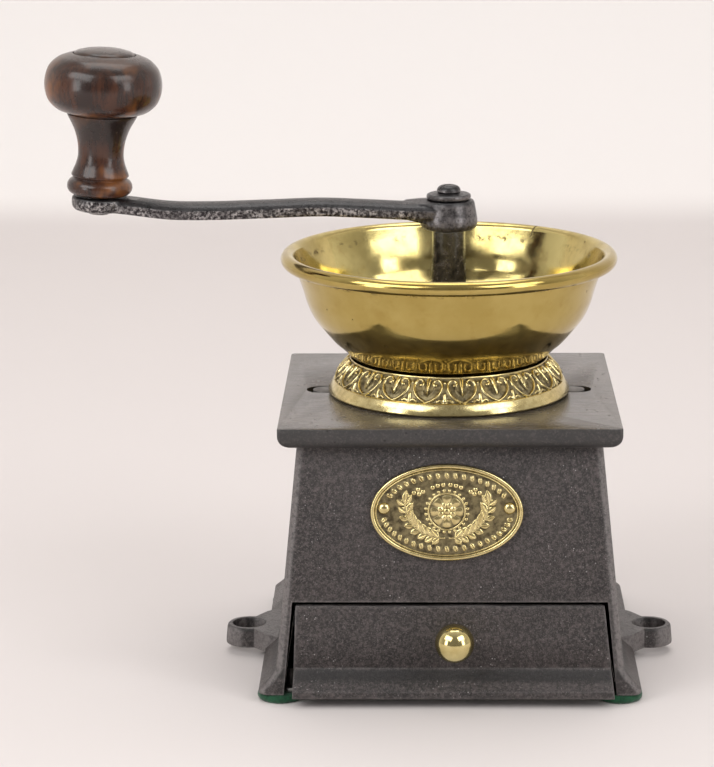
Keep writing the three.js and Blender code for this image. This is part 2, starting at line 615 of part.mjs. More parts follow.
const rivetProfile = [
  [0, -4.4], [1.7, -4.4], [1.9, -3.7], [BADGE_RIVET.radius, -3.7], [BADGE_RIVET.radius, 1.6],
  [BADGE_RIVET.head, 1.6], [1.5, 2.2], [0, 2.5],
];

const badge = add('badge_plate', BRASS_AGED, outward(makeBadge()), front);
badge.position.set(BADGE.x, -GAP, BADGE.up);
for (const [name, side] of sides) {
  const rivet = add(`badge_rivet_${name}`, BRASS_AGED, outward(turned(rivetProfile, 10)), front);
  rivet.position.set(BADGE.x + side * BADGE_RIVET.x, 0, BADGE.up + BADGE_RIVET.up);
}

// ---------------------------------------------------------------- drawer

// Extrudes a side view of [y, z] points across the mill, with its own half width at each height.
function across(sideView, halfWidthAt) {
  return layered(polygon(sideView), 1, (y, z, layer) => [(layer ? 1 : -1) * halfWidthAt(z), y, z]);
}

function makeDrawerFront() {
  const rimTop = 3;
  const flare = Array.from({ length: 5 }, (_, i) => {
    const z = FLARE.height - ((FLARE.height - rimTop) * i) / 4;
    return [frontFace(z) - DRAWER.flare * (i / 4) ** 1.35, z];
  });
  const rimFace = flare.at(-1)[0] - 0.1;
  const sideView = [
    [frontFace(DRAWER.top), DRAWER.top], ...flare, [rimFace, rimTop - 0.4],
    [rimFace, DRAWER.bottom], [frontFace(0) + DRAWER.thickness, DRAWER.bottom],
    [frontFace(DRAWER.top) + DRAWER.thickness, DRAWER.top],
  ];
  const spread = (DRAWER.halfBottom - DRAWER.halfTop) / DRAWER.top;
  const panel = across(sideView, (z) => DRAWER.halfBottom - z * spread);
  const stemHole = outward(cylinder(DRAWER_KNOB.stem + GAP, -8, 8, 16));
  const screwHole = outward(cylinder(trayScrew.shank + GAP, -DRAWER.thickness - 1, -0.9, 16));
  return cut(
    panel, inMillFrame(stemHole.translate([DRAWER_KNOB.x, 0, DRAWER_KNOB.up]), front),
    ...sides.map(([, x]) => inMillFrame(screwHole.translate([x * TRAY_SCREW.x, 0, TRAY_SCREW.z]), front)),
  );
}

function makeTray() {
  const frontWall = (z) => frontFace(z) + DRAWER.thickness + GAP;
  const slab = (inset, bottom, top) => across([
    [frontWall(bottom) + inset, bottom], [TRAY.back - inset, bottom],
    [TRAY.back - inset, top], [frontWall(top) + inset, top],
  ], () => TRAY.halfWidth - inset);
  const hemBottom = TRAY.top - TRAY.hem;
  const stemHole = outward(cylinder(DRAWER_KNOB.stem + GAP, -8, 0, 16));
  const screwHole = outward(cylinder(trayScrew.shank + GAP, -8, 0, 16));
  return cut(
    slab(0, TRAY.bottom, TRAY.top),
    slab(TRAY.sheet, TRAY.bottom + TRAY.sheet, hemBottom),
    slab(TRAY.sheet + 0.6, hemBottom - 0.1, TRAY.top + 1),
    inMillFrame(stemHole.translate([DRAWER_KNOB.x, 0, DRAWER_KNOB.up]), front),
    ...sides.map(([, x]) => inMillFrame(screwHole.translate([x * TRAY_SCREW.x, 0, TRAY_SCREW.z]), front)),
  );
}

function makeDrawerKnob() {
  const ball = arcProfile([0, DRAWER_KNOB.reach], DRAWER_KNOB.radius, -68, 90, 8);
  const { stem } = DRAWER_KNOB;
  ball[ball.length - 1][0] = 0;
  return turned([
    [0, -8], [stem, -8], [stem, GAP], [4.2, GAP], [4.6, 0.9], [3.6, 1.6], [2.5, 2.4], ...ball,
  ], 16);
}

const trayInside = -(DRAWER.thickness + GAP + TRAY.sheet + 0.1);
const nutBlank = extruded(hexagon(6.6), trayInside - 2.4, trayInside - 0.1);
const knobNut = nutBlank.subtract(cylinder(DRAWER_KNOB.stem + GAP, -10, 0, 16));

add('drawer_front', IRON_BLACK, makeDrawerFront());
add('drawer_tray', TINPLATE, makeTray());
const drawerKnob = add('drawer_knob', BRASS, outward(makeDrawerKnob()), front);
drawerKnob.position.set(DRAWER_KNOB.x, 0, DRAWER_KNOB.up);
const drawerNut = add('drawer_knob_nut', STEEL, outward(knobNut), front);
drawerNut.position.set(DRAWER_KNOB.x, 0, DRAWER_KNOB.up);
for (const [name, x] of sides) {
  const screw = outward(flip(slottedScrew(trayScrew)));
  const mesh = add(`tray_screw_${name}`, STEEL, screw, front);
  mesh.position.set(x * TRAY_SCREW.x, -trayInside, TRAY_SCREW.z);
}

export default mill;
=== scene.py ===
"""An antique box coffee mill: cast iron case with a drawer, brass hopper, hand crank and wooden grip.

Outlines and sizes are in millimetres and are scaled to metres when a mesh is made.
"""
import json
import math

import bpy
import numpy as np
from mathutils import Matrix, Vector


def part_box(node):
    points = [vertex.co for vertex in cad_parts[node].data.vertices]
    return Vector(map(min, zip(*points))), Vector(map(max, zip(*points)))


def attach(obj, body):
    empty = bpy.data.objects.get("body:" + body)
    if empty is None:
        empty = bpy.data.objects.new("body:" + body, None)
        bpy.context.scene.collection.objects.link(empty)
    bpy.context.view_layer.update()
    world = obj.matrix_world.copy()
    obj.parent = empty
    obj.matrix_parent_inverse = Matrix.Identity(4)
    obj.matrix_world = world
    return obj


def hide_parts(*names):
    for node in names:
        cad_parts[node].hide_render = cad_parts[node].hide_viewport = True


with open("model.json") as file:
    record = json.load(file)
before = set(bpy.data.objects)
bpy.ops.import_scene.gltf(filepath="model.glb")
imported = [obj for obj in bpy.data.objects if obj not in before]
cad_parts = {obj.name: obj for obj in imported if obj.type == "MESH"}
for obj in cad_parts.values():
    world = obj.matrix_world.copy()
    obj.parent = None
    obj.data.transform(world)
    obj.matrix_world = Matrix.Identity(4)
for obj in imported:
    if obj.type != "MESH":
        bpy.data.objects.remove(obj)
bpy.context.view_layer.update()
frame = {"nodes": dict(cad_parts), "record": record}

MM = 0.001
GAP = 0.3  # between parts that are not joined
AXIS_RADIUS = 0.02  # stands for zero where a turned profile meets its axis


def extent(node):
    """The lowest and highest corner of a CAD node, in millimetres."""
    low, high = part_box(node)
    return np.array(low) / MM, np.array(high) / MM


def assign(target, settings):
    for name, value in settings.items():
        setattr(target, name, value)
    return target


def add_object(name, data):
    obj = bpy.data.objects.new(name, data)
    bpy.context.collection.objects.link(obj)
    return obj


# -------- camera

CAMERA_AT = (-0.00711, -1.02357, 0.33744)
CAMERA_YAW, CAMERA_PITCH, CAMERA_ROLL = (math.radians(a) for a in (-1.381, 13.405, -0.413))
CAMERA_LENS = 142.5


def place_camera():
    data = assign(bpy.data.cameras.new("camera"), {"lens": CAMERA_LENS, "clip_end": 20})
    camera = add_object("camera", data)
    level = math.cos(CAMERA_PITCH)
    forward = Vector((math.sin(CAMERA_YAW) * level, math.cos(CAMERA_YAW) * level, -math.sin(CAMERA_PITCH)))
    right = Vector((math.cos(CAMERA_YAW), -math.sin(CAMERA_YAW), 0))
    right = Matrix.Rotation(-CAMERA_ROLL, 3, forward) @ right
    up = right.cross(forward)
    axes = Matrix((right, up, -forward)).transposed()
    camera.matrix_world = Matrix.Translation(CAMERA_AT) @ axes.to_4x4()
    bpy.context.scene.camera = camera


place_camera()


# -------- mesh helpers

def arc(centre, radius, start, end, steps):
    angles = np.radians(np.linspace(start, end, steps + 1))
    return [(centre[0] + radius * math.cos(a), centre[1] + radius * math.sin(a)) for a in angles]


def smooth_line(points, steps):
    """Points on a smooth curve that passes through all the given ones."""
    line = np.array(points, float)
    padded = np.vstack([2 * line[0] - line[1], line, 2 * line[-1] - line[-2]])
    spans = len(line) - 1
    result = []
    for t in np.linspace(0, spans, steps + 1):
        i = min(int(t), spans - 1)
        u = t - i
        a, b, c, d = padded[i:i + 4]
        point = 2 * b + (c - a) * u + (2 * a - 5 * b + 4 * c - d) * u**2 + (3 * b - a - 3 * c + d) * u**3
        result.append(tuple(point / 2))
    return result


def offset_line(line, distance):
    """The line moved to its left by a distance, with mitred corners."""
    line = np.array(line, float)
    along = np.diff(line, axis=0)
    along /= np.linalg.norm(along, axis=1)[:, None]
    left = np.column_stack([-along[:, 1], along[:, 0]])
    before = np.vstack([left[:1], left])
    after = np.vstack([left, left[-1:]])
    total = before + after
    return [tuple(p) for p in line + distance * total / (1 + (before * after).sum(axis=1))[:, None]]


def shade(obj, sharp=35):
    obj.data.shade_smooth()
    obj.data.set_sharp_from_angle(angle=math.radians(sharp))
    return obj


def add_mesh(name, points, faces, sharp=35):
    mesh = bpy.data.meshes.new(name)
    mesh.from_pydata((np.asarray(points, float) * MM).tolist(), [], faces)
    mesh.validate()
    return shade(add_object(name, mesh), sharp)


def loft(name, rings, closed=False, sharp=35):
    """Skins rings of equal length. A closed loft joins its last ring to its first."""
    rings = np.asarray(rings, float)
    count, size = rings.shape[:2]
    faces = []
    for i in range(count if closed else count - 1):
        a, b = i * size, ((i + 1) % count) * size
        faces += [(a + j, a + (j + 1) % size, b + (j + 1) % size, b + j) for j in range(size)]
    if not closed:
        faces.append(tuple(reversed(range(size))))
        faces.append(tuple(range((count - 1) * size, count * size)))
    return add_mesh(name, rings.reshape(-1, 3), faces, sharp)


def whole_turn(steps):
    return np.linspace(0, 2 * math.pi, steps, endpoint=False)


def round_ring(angles, radius, z):
    """Points round the Z axis. The radius may change from point to point."""
    return np.column_stack([np.cos(angles) * radius, np.sin(angles) * radius, z + 0 * angles])


def lathe(name, profile, segments=128, sharp=35):
    """Turns a profile of (radius, z) upwards round Z, from axis to axis or as a closed loop."""
    closed = profile[0][0] > 0
    rings = [round_ring(whole_turn(segments), max(r, AXIS_RADIUS), z) for r, z in profile]
    return loft(name, rings, closed, sharp)


def slab_ring(low, high, radius, z, corner_steps=6):
    """A rounded rectangle at height z."""
    (x0, y0), (x1, y1) = low, high
    corners = [(x1 - radius, y1 - radius, 0), (x0 + radius, y1 - radius, 90),
               (x0 + radius, y0 + radius, 180), (x1 - radius, y0 + radius, 270)]
    return [(px, py, z) for x, y, start in corners
            for px, py in arc((x, y), radius, start, start + 90, corner_steps)]


def prism(name, outline, bottom, top):
    return loft(name, [[(x, y, z) for x, y in outline] for z in (bottom, top)])


def box(name, low, high):
    outline = [(low[0], low[1]), (high[0], low[1]), (high[0], high[1]), (low[0], high[1])]
    return prism(name, outline, low[2], high[2])


def apply_modifiers(obj):
    bpy.context.view_layer.update()
    graph = bpy.context.evaluated_depsgraph_get()
    mesh = bpy.data.meshes.new_from_object(obj.evaluated_get(graph))
    old = obj.data
    obj.modifiers.clear()
    obj.data = mesh
    mesh.name = obj.name
    bpy.data.meshes.remove(old)
    return shade(obj)


def modify(obj, kind, **settings):
    assign(obj.modifiers.new(kind.lower(), kind), settings)


def boolean(target, *tools, operation="DIFFERENCE"):
    for tool in tools:
        modify(target, "BOOLEAN", object=tool, operation=operation, solver="EXACT")
        apply_modifiers(target)
        bpy.data.objects.remove(tool)
    return target


def soften(obj, width, segments=2, angle=40):
    """Rounds the edges that are sharper than an angle."""
    modify(obj, "BEVEL", width=width * MM, segments=segments, limit_method="ANGLE",
           angle_limit=math.radians(angle))
    return apply_modifiers(obj)


def transform(obj, matrix):
    obj.data.transform(matrix)
    return obj


def raised(obj, x, y, z):
    return transform(obj, Matrix.Translation((x * MM, y * MM, z * MM)))


def store_relief(obj, heights):
    """Keeps the relief's height at each point, for its look to read."""
    attribute = obj.data.attributes.new("relief", "FLOAT", "POINT")
    attribute.data.foreach_set("value", heights)
    return obj


def place(obj, body, slot, node, look=None):
    """Finishes a piece: its body, its material slot, the CAD node it stands for and its look."""
    obj.data.materials.clear()
    obj.data.materials.append(look or SLOT_LOOKS[slot])
    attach(obj, body)
    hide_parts(node)


# -------- sizes shared by the pieces

plate_corner = extent("top_plate")[1]
case_corner = extent("body_casting")[1]
CASE_TOP = case_corner[2]
PLATE_TOP = plate_corner[2]
LEAN = 0.099  # how far each side leans in for each mm of height
WALL = 3.1
HALF_WIDTH, HALF_DEPTH = 50.82, 50.27  # of the case at its top
FLARE_HEIGHT, FLARE_OUT, FLARE_RIM = 9.0, 5.2, 1.6
LUG_RADIUS = 8.2
LUG_EYE = case_corner[0] - LUG_RADIUS  # the middle of a lug's screw hole


def half_width(z):
    return HALF_WIDTH + (CASE_TOP - z) * LEAN


def front_face(z):
    return -HALF_DEPTH - (CASE_TOP - z) * LEAN


# Z of the front's own frame runs up the sloped face, and its -Y points straight out.
FRONT = Matrix.Translation((0, front_face(0) * MM, 0)) @ Matrix.Rotation(-math.atan(LEAN), 4, "X")
GRIP_AT, GRIP_LEAN = (-119.5, 0, 160), 3.5
GRIP = Matrix.Translation(Vector(GRIP_AT) * MM) @ Matrix.Rotation(math.radians(GRIP_LEAN), 4, "Y")


def on_front(x, out, up):
    """A frame on the sloped face whose Z points straight out of it."""
    return FRONT @ Matrix.Translation((x * MM, -out * MM, up * MM)) @ Matrix.Rotation(math.pi / 2, 4, "X")


KNOB_X, KNOB_UP = 1.5, 19.9
KNOB = on_front(KNOB_X, 0, KNOB_UP)


# -------- material helpers

class Look:
    """A material whose nodes work in millimetres, in the mill's frame or in a piece's own one."""

    def __init__(self, name, own_frame=None, **constants):
        self.material = bpy.data.materials.new(name)
        self.material.use_nodes = True
        self.tree = self.material.node_tree
        self.shader = self.tree.nodes["Principled BSDF"]
        self.set(**constants)
        coordinates = self.node("TexCoord")
        self.facing = coordinates.outputs["Normal"]
        point = coordinates.outputs["Object"]
        if own_frame is not None:
            at, turn = own_frame.to_translation(), own_frame.to_euler()
            inputs = {"Vector": point, "Location": at, "Rotation": turn}
            point = self.node("Mapping", inputs, vector_type="TEXTURE").outputs["Vector"]
        self.at = self.vector("SCALE", point, scale=1 / MM)

    def feed(self, socket, value):
        if isinstance(value, bpy.types.NodeSocket):
            self.tree.links.new(value, socket)
        else:
            socket.default_value = value

    def node(self, kind, inputs=None, **settings):
        """Adds a node. An input takes a value or another node's output."""
        node = assign(self.tree.nodes.new("ShaderNode" + kind), settings)
        for socket, value in (inputs or {}).items():
            if value is not None:
                self.feed(node.inputs[socket], value)
        return node

    def set(self, **inputs):
        for name, value in inputs.items():
            self.feed(self.shader.inputs[name.replace("_", " ")], value)

    def vector(self, operation, a, b=None, scale=None):
        node = self.node("VectorMath", {0: a, 1: b, "Scale": scale}, operation=operation)
        return node.outputs["Value" if operation in ("LENGTH", "DOT_PRODUCT") else "Vector"]

    def math(self, operation, a, b=0.0, clamp=False):
        return self.node("Math", {0: a, 1: b}, operation=operation, use_clamp=clamp).outputs[0]

    def times(self, a, b):
        return self.math("MULTIPLY", a, b)

    def plus(self, a, b, clamp=False):
        return self.math("ADD", a, b, clamp)

    def away(self, a, b):
        """The distance between two numbers."""
        return self.math("ABSOLUTE", self.math("SUBTRACT", a, b))

    def split(self, vector):
        return self.node("SeparateXYZ", {0: vector}).outputs

    def join(self, x, y, z):
        return self.node("CombineXYZ", {0: x, 1: y, 2: z}).outputs[0]

    def noise(self, size, detail=4.0, roughness=0.55, at=None, stretch=(1, 1, 1)):
        """Noise whose blobs are about size millimetres across."""
        at = self.vector("MULTIPLY", self.at if at is None else at, stretch)
        inputs = {"Vector": at, "Scale": 1 / size, "Detail": detail, "Roughness": roughness}
        return self.node("TexNoise", inputs).outputs["Fac"]

    def cells(self, size):
        """The distance from the nearest of scattered points, in parts of their spacing."""
        return self.node("TexVoronoi", {"Vector": self.at, "Scale": 1 / size}).outputs["Distance"]

    def step(self, value, low, high, bottom=0.0, top=1.0):
        """A smooth step from bottom at low to top at high."""
        inputs = {"Value": value, "From Min": low, "From Max": high, "To Min": bottom, "To Max": top}
        return self.node("MapRange", inputs, interpolation_type="SMOOTHSTEP").outputs["Result"]

    def mix(self, amount, a, b):
        a, b = ((*color, 1) if isinstance(color, tuple) else color for color in (a, b))
        return self.node("Mix", {0: amount, 6: a, 7: b}, data_type="RGBA").outputs[2]

    def blend(self, value, low, high, a, b, most=1.0):
        """Turns from colour a to b as a value goes from low to high. Below 1, most stops it short of b."""
        return self.mix(self.step(value, low, high, 0, most), a, b)

    def edge(self, radius):
        """How much the surface turns within a radius: 0 on flats, towards 1 on edges."""
        rounded = self.node("Bevel", {"Radius": radius * MM}).outputs["Normal"]
        flat = self.node("NewGeometry").outputs["Normal"]
        return self.math("SUBTRACT", 1.0, self.vector("DOT_PRODUCT", rounded, flat), clamp=True)

    def attribute(self, name):
        return self.node("Attribute", attribute_name=name).outputs["Fac"]

    def bump(self, *layers):
        """Adds bump layers of (height, depth in millimetres)."""
        normal = None
        for height, depth in layers:
            inputs = {"Height": height, "Distance": depth * MM, "Normal": normal}
            normal = self.node("Bump", inputs).outputs["Normal"]
        self.set(Normal=normal)


# -------- materials

def black_iron():
    """Cast iron under old black paint: a pebbled skin with pale specks and edges rubbed grey, with the same
    grey painted as highlight on the rounded vertical corners and upward-facing ledges.

    A painted shade darkens a band along the crease where the foot starts to flare.
    """
    look = Look("black_iron", Metallic=0.0, IOR=1.52)
    patches = look.noise(24, 4, 0.6)
    pebbles = look.noise(1.3, 5, 0.72)
    grain = look.noise(0.5, 4, 0.75)
    color = look.blend(patches, 0.35, 0.65, (0.007, 0.0052, 0.0050), (0.018, 0.0138, 0.0132))
    color = look.blend(pebbles, 0.43, 0.66, color, (0.088, 0.071, 0.068), 0.78)
    color = look.blend(grain, 0.5, 0.70, color, (0.175, 0.147, 0.141), 0.7)
    dusty = look.step(look.noise(19, 3), 0.42, 0.62)
    fleck = look.times(look.step(look.cells(1.15), 0.24, 0.11), look.step(look.noise(1.2, 2), 0.50, 0.62))
    fleck = look.times(fleck, dusty)
    color = look.mix(look.times(fleck, 0.85), color, (0.46, 0.43, 0.42))
    # Painted shade: the band along the crease is darkened.
    crease_height = 7.3
    _, _, z = look.split(look.at)
    color = look.blend(look.away(z, crease_height), 2.7, 0.7, color, (0.006, 0.0048, 0.0045), 0.8)
    across, along, upward = look.split(look.facing)
    # Painted highlight: rounded vertical corners and upward-facing ledges turn grey as if lit, alongside the
    # real wear on sharp edges.
    painted_corner_highlight = look.math("ABSOLUTE", look.times(across, along))
    worn = look.math("MAXIMUM", look.step(painted_corner_highlight, 0.12, 0.42), look.step(upward, 0.75, 0.95, 0, 0.75))
    worn = look.math("MAXIMUM", worn, look.step(look.edge(1.4), 0.015, 0.2))
    worn = look.times(worn, look.step(pebbles, 0.33, 0.58, 0.35, 1))
    color = look.mix(look.times(worn, 0.7), color, (0.21, 0.19, 0.185))
    look.set(Base_Color=color, Roughness=look.step(patches, 0.3, 0.7, 0.46, 0.34))
    look.bump((look.noise(7, 3), 0.18), (pebbles, 0.42), (grain, 0.16))
    return look.material


def worn_iron():
    """The top plate: black iron polished by years of wiping, with brown stains and small pits; its side faces
    get a much darker copy of its colour as painted shade.
    """
    look = Look("worn_iron", Metallic=0.0, IOR=1.72)
    streaks = look.noise(1.0, 6, 0.7, stretch=(0.14, 1, 1))
    patches = look.noise(17, 5, 0.62)
    color = look.blend(patches, 0.3, 0.7, (0.046, 0.040, 0.036), (0.115, 0.100, 0.088))
    color = look.blend(streaks, 0.45, 0.75, color, (0.22, 0.20, 0.185), 0.7)
    pits = look.times(look.step(look.cells(2.6), 0.24, 0.12), look.step(patches, 0.47, 0.6))
    color = look.mix(look.times(pits, 0.8), color, (0.012, 0.010, 0.010))
    worn = look.times(look.step(look.edge(0.9), 0.02, 0.2), look.step(streaks, 0.35, 0.6))
    color = look.mix(look.times(worn, 0.45), color, (0.24, 0.21, 0.19))
    _, _, upward = look.split(look.facing)
    # Painted shade: faces that do not point up get a much darker copy of the plate's colour.
    side = look.step(upward, 0.9, 0.4)
    painted_shade_side = look.blend(patches, 0.3, 0.7, (0.003, 0.0025, 0.0025), (0.011, 0.009, 0.0085))
    speckle = look.step(look.noise(0.8, 4, 0.7), 0.46, 0.70, 0, 0.8)
    painted_shade_side = look.mix(speckle, painted_shade_side, (0.060, 0.050, 0.047))
    color = look.mix(look.times(side, 0.95), color, painted_shade_side)
    shine = look.plus(look.step(streaks, 0.3, 0.7, 0.15, 0.27), look.times(pits, 0.3))
    shine = look.plus(shine, look.times(side, 0.34))
    look.set(Base_Color=color, Roughness=shine)
    look.bump((look.noise(8, 2), 0.10), (streaks, 0.07), (pits, -0.06), (look.noise(0.5, 3), 0.02))
    return look.material


def crank_iron():
    """Wrought iron: oily black on top, rubbed to mottled grey metal at the sides, smoother round the boss."""
    look = Look("crank_iron", Specular_IOR_Level=0.5)
    mottle = look.noise(3.2, 6, 0.68)
    grain = look.noise(1.1, 5, 0.68)
    across, along, _ = look.split(look.at)
    rough_cast = look.step(look.vector("LENGTH", look.join(across, along, 0)), 9.5, 16, 0.22, 1)
    _, _, upward = look.split(look.facing)
    rubbed = look.step(look.plus(upward, look.times(mottle, 0.5)), 0.75, 0.40)
    rubbed = look.times(rubbed, look.step(mottle, 0.25, 0.55, 0.35, 1))
    black = look.blend(mottle, 0.35, 0.7, (0.005, 0.0045, 0.005), (0.022, 0.019, 0.020))
    bare = look.blend(grain, 0.42, 0.66, (0.026, 0.022, 0.024), (0.58, 0.545, 0.535))
    bare = look.blend(look.noise(5.5, 3), 0.4, 0.62, bare, (0.045, 0.040, 0.042), 0.6)
    boss = look.blend(mottle, 0.3, 0.7, (0.055, 0.050, 0.052), (0.20, 0.185, 0.185))
    bare = look.mix(rough_cast, boss, bare)
    color = look.mix(rubbed, black, bare)
    worn = look.times(look.step(look.edge(0.9), 0.03, 0.3), look.step(grain, 0.35, 0.6))
    color = look.mix(look.times(worn, 0.6), color, (0.44, 0.415, 0.40))
    look.set(Base_Color=color, Metallic=look.times(rubbed, 0.7),
             Roughness=look.step(grain, 0.3, 0.7, 0.25, 0.38))
    pits = look.step(look.cells(2.1), 0.28, 0.1)
    look.bump((look.times(mottle, rough_cast), 0.22), (look.times(grain, rough_cast), 0.12),
              (pits, -0.06))
    return look.material


def shaft_iron():
    """The turned spindle: glossy black with faint turning lines."""
    look = Look("shaft_iron", Metallic=0.0, IOR=1.9)
    mottle = look.noise(2.6, 5, 0.6)
    color = look.blend(mottle, 0.4, 0.75, (0.010, 0.009, 0.009), (0.060, 0.048, 0.040))
    look.set(Base_Color=color, Roughness=look.step(mottle, 0.3, 0.7, 0.12, 0.30))
    look.bump((mottle, 0.07), (spun_lines(look, 0.5), 0.012))
    return look.material


def plain_metal(name, dark, light, metallic, roughness, size=3.0, depth=0.03):
    look = Look(name, Metallic=metallic)
    mottle = look.noise(size, 5, 0.6)
    grain = look.noise(size / 6, 3, 0.6)
    color = look.blend(mottle, 0.3, 0.7, dark, light)
    look.set(Base_Color=color, Roughness=look.step(grain, 0.3, 0.7, roughness - 0.08, roughness + 0.08))
    look.bump((mottle, depth), (grain, depth / 2))
    return look.material


def spun_lines(look, size):
    """Fine lines round the Z axis, as a turning tool or a polishing mop leaves them."""
    x, y, z = look.split(look.at)
    radius = look.math("SQRT", look.plus(look.times(x, x), look.times(y, y)))
    sweep = look.join(radius, z, look.times(look.noise(30, 1), 2.0))
    return look.noise(size, 3, 0.6, at=sweep)


ROLL_CRACK = math.radians(55) + 0.56  # a short split across the roll, leaning a little


def polished_brass(name, own_frame=None, bowl=True):
    """Brass mellowed to a greenish gold.

    The bowl's outside is painted browner as painted shade and painted reflection; it has stains under its
    roll and a short split across it.
    """
    look = Look(name, own_frame, Metallic=1.0)
    cloud = look.noise(18, 4, 0.6)
    film = look.noise(6, 5, 0.65)
    # The knob's lightest brass is a lighter copy of the bowl's, painted light that makes up for the darker
    # front it faces.
    lightest_brass = (0.68, 0.565, 0.235) if bowl else (0.82, 0.71, 0.36)
    color = look.blend(cloud, 0.35, 0.65, lightest_brass, (0.50, 0.40, 0.15))
    color = look.blend(film, 0.5, 0.8, color, (0.36, 0.235, 0.075), 0.6 if bowl else 0.3)
    spots = look.times(look.step(look.cells(7), 0.09, 0.045), look.step(film, 0.45, 0.55))
    dirt = look.times(spots, 0.5)
    if bowl:
        x, y, z = look.split(look.at)
        across, along, _ = look.split(look.facing)
        # Painted shade and painted reflection: faces that turn away from the axis are darkened towards brown.
        outward = look.plus(look.times(x, across), look.times(y, along))
        color = look.blend(outward, -6, 12, color, (0.40, 0.28, 0.066), 0.62)
        roll_foot = extent("hopper_bowl")[1][2] - 5.0
        near_roll = look.step(look.away(z, roll_foot), 1.5, 0.2)
        patchy = look.times(look.step(look.noise(3.2, 5, 0.7), 0.50, 0.62), look.step(cloud, 0.4, 0.55))
        dirt = look.plus(look.times(near_roll, patchy), dirt, clamp=True)
        turn = look.math("SUBTRACT", look.math("ARCTAN2", y, x), ROLL_CRACK)
        turn = look.plus(turn, look.times(z, 0.004))
        crack = look.step(look.math("ABSOLUTE", turn), 0.009, 0.005)
        crack = look.times(crack, look.step(z, roll_foot + 1.2, roll_foot + 1.8))
        dirt = look.math("MAXIMUM", dirt, crack)
    color = look.mix(look.times(dirt, 0.85), color, (0.07, 0.048, 0.024))
    shine = look.step(film, 0.3, 0.75, 0.09, 0.20)
    look.set(Base_Color=color, Roughness=look.plus(shine, look.times(dirt, 0.3)))
    look.bump((look.noise(15, 2), 0.06), (spun_lines(look, 0.35), 0.0035), (look.noise(1.5, 3), 0.004))
    return look.material


def stamped_brass():
    """Brass rubbed bright on the high spots, with dark wax and tarnish in the hollows."""
    look = Look("stamped_brass", Metallic=1.0)
    relief = look.attribute("relief")
    film = look.noise(2.2, 5, 0.65)
    bright = look.blend(film, 0.35, 0.7, (0.74, 0.62, 0.31), (0.56, 0.45, 0.20))
    hollow = look.blend(film, 0.35, 0.68, (0.30, 0.25, 0.135), (0.085, 0.068, 0.042))
    height = look.plus(relief, look.times(look.math("SUBTRACT", film, 0.5), 0.25))
    rubbed = look.step(height, 0.20, 0.62)
    look.set(Base_Color=look.mix(rubbed, hollow, bright), Roughness=look.step(rubbed, 0, 1, 0.46, 0.20))
    look.bump((look.noise(1.6, 3), 0.025), (look.noise(0.4, 3), 0.01))
    return look.material


def dark_walnut():
    """A polished hardwood grip, nearly black with handling, red to orange brown where light gets in."""
    look = Look("dark_walnut", GRIP, Metallic=0.0, IOR=1.40, Coat_Weight=0.35, Coat_Roughness=0.13)
    figure = look.noise(3.4, 5, 0.62, stretch=(1, 1, 0.2))
    pores = look.noise(0.45, 4, 0.6, stretch=(1, 1, 0.09))
    patches = look.noise(11, 3, 0.55, stretch=(1, 1, 0.8))
    color = look.blend(figure, 0.38, 0.64, (0.020, 0.0085, 0.0060), (0.060, 0.021, 0.010))
    color = look.blend(patches, 0.50, 0.66, color, (0.20, 0.068, 0.014), 0.85)
    _, _, z = look.split(look.at)
    _, _, upward = look.split(look.facing)
    handled = look.step(look.plus(z, look.times(patches, 12)), 44, 58, 0, 0.85)
    color = look.mix(handled, color, (0.024, 0.016, 0.0125))
    # Painted shade: a dark band on the stem just under the overhanging cap.
    shade_under_cap = look.away(look.plus(z, look.times(figure, 5)), 26)
    color = look.blend(shade_under_cap, 7, 2.5, color, (0.016, 0.011, 0.0095), 0.75)
    # Painted highlight: upward-facing tops, such as the plug's, are lightened towards greyish brown.
    color = look.blend(upward, 0.93, 0.99, color, (0.070, 0.052, 0.041), 0.4)
    color = look.blend(pores, 0.55, 0.7, color, (0.010, 0.006, 0.005), 0.6)
    look.set(Base_Color=color, Roughness=look.step(patches, 0.3, 0.7, 0.22, 0.33))
    look.bump((figure, 0.035), (pores, 0.035), (spun_lines(look, 0.9), 0.03), (look.noise(6, 2), 0.10))
    return look.material


def green_felt():
    look = Look("green_felt", Roughness=0.95, Sheen_Weight=0.25, Sheen_Roughness=0.5)
    fibres = look.noise(0.35, 5, 0.7, stretch=(1, 1, 0.6))
    clumps = look.noise(2.2, 4, 0.6)
    color = look.blend(clumps, 0.35, 0.65, (0.004, 0.043, 0.018), (0.008, 0.082, 0.033))
    color = look.blend(fibres, 0.5, 0.8, color, (0.025, 0.125, 0.055), 0.4)
    look.set(Base_Color=color)
    look.bump((clumps, 0.2), (fibres, 0.12))
    return look.material


SLOT_LOOKS = {
    "black_iron": black_iron(),
    "worn_iron": worn_iron(),
    "crank_iron": crank_iron(),
    "burr_iron": plain_metal("burr_iron", (0.10, 0.095, 0.09), (0.22, 0.21, 0.2), 0.7, 0.45, 3, 0.06),
    "steel": plain_metal("old_steel", (0.10, 0.09, 0.085), (0.28, 0.26, 0.24), 0.85, 0.38),
    "tinplate": plain_metal("tinplate", (0.36, 0.36, 0.35), (0.55, 0.55, 0.53), 0.95, 0.34, 9, 0.02),
    "bronze": plain_metal("bronze", (0.36, 0.22, 0.10), (0.50, 0.33, 0.16), 1.0, 0.32),
    "hopper_brass": polished_brass("polished_brass"),
    "aged_brass": stamped_brass(),
    "dark_walnut": dark_walnut(),
    "green_felt": green_felt(),
}
SHAFT_IRON = shaft_iron()
KNOB_BRASS = polished_brass("knob_brass", KNOB, bowl=False)


# -------- case

def flare_at(z):
    reach = min(max((FLARE_HEIGHT - z) / (FLARE_HEIGHT - FLARE_RIM), 0), 1)
    return FLARE_OUT * reach ** 1.35


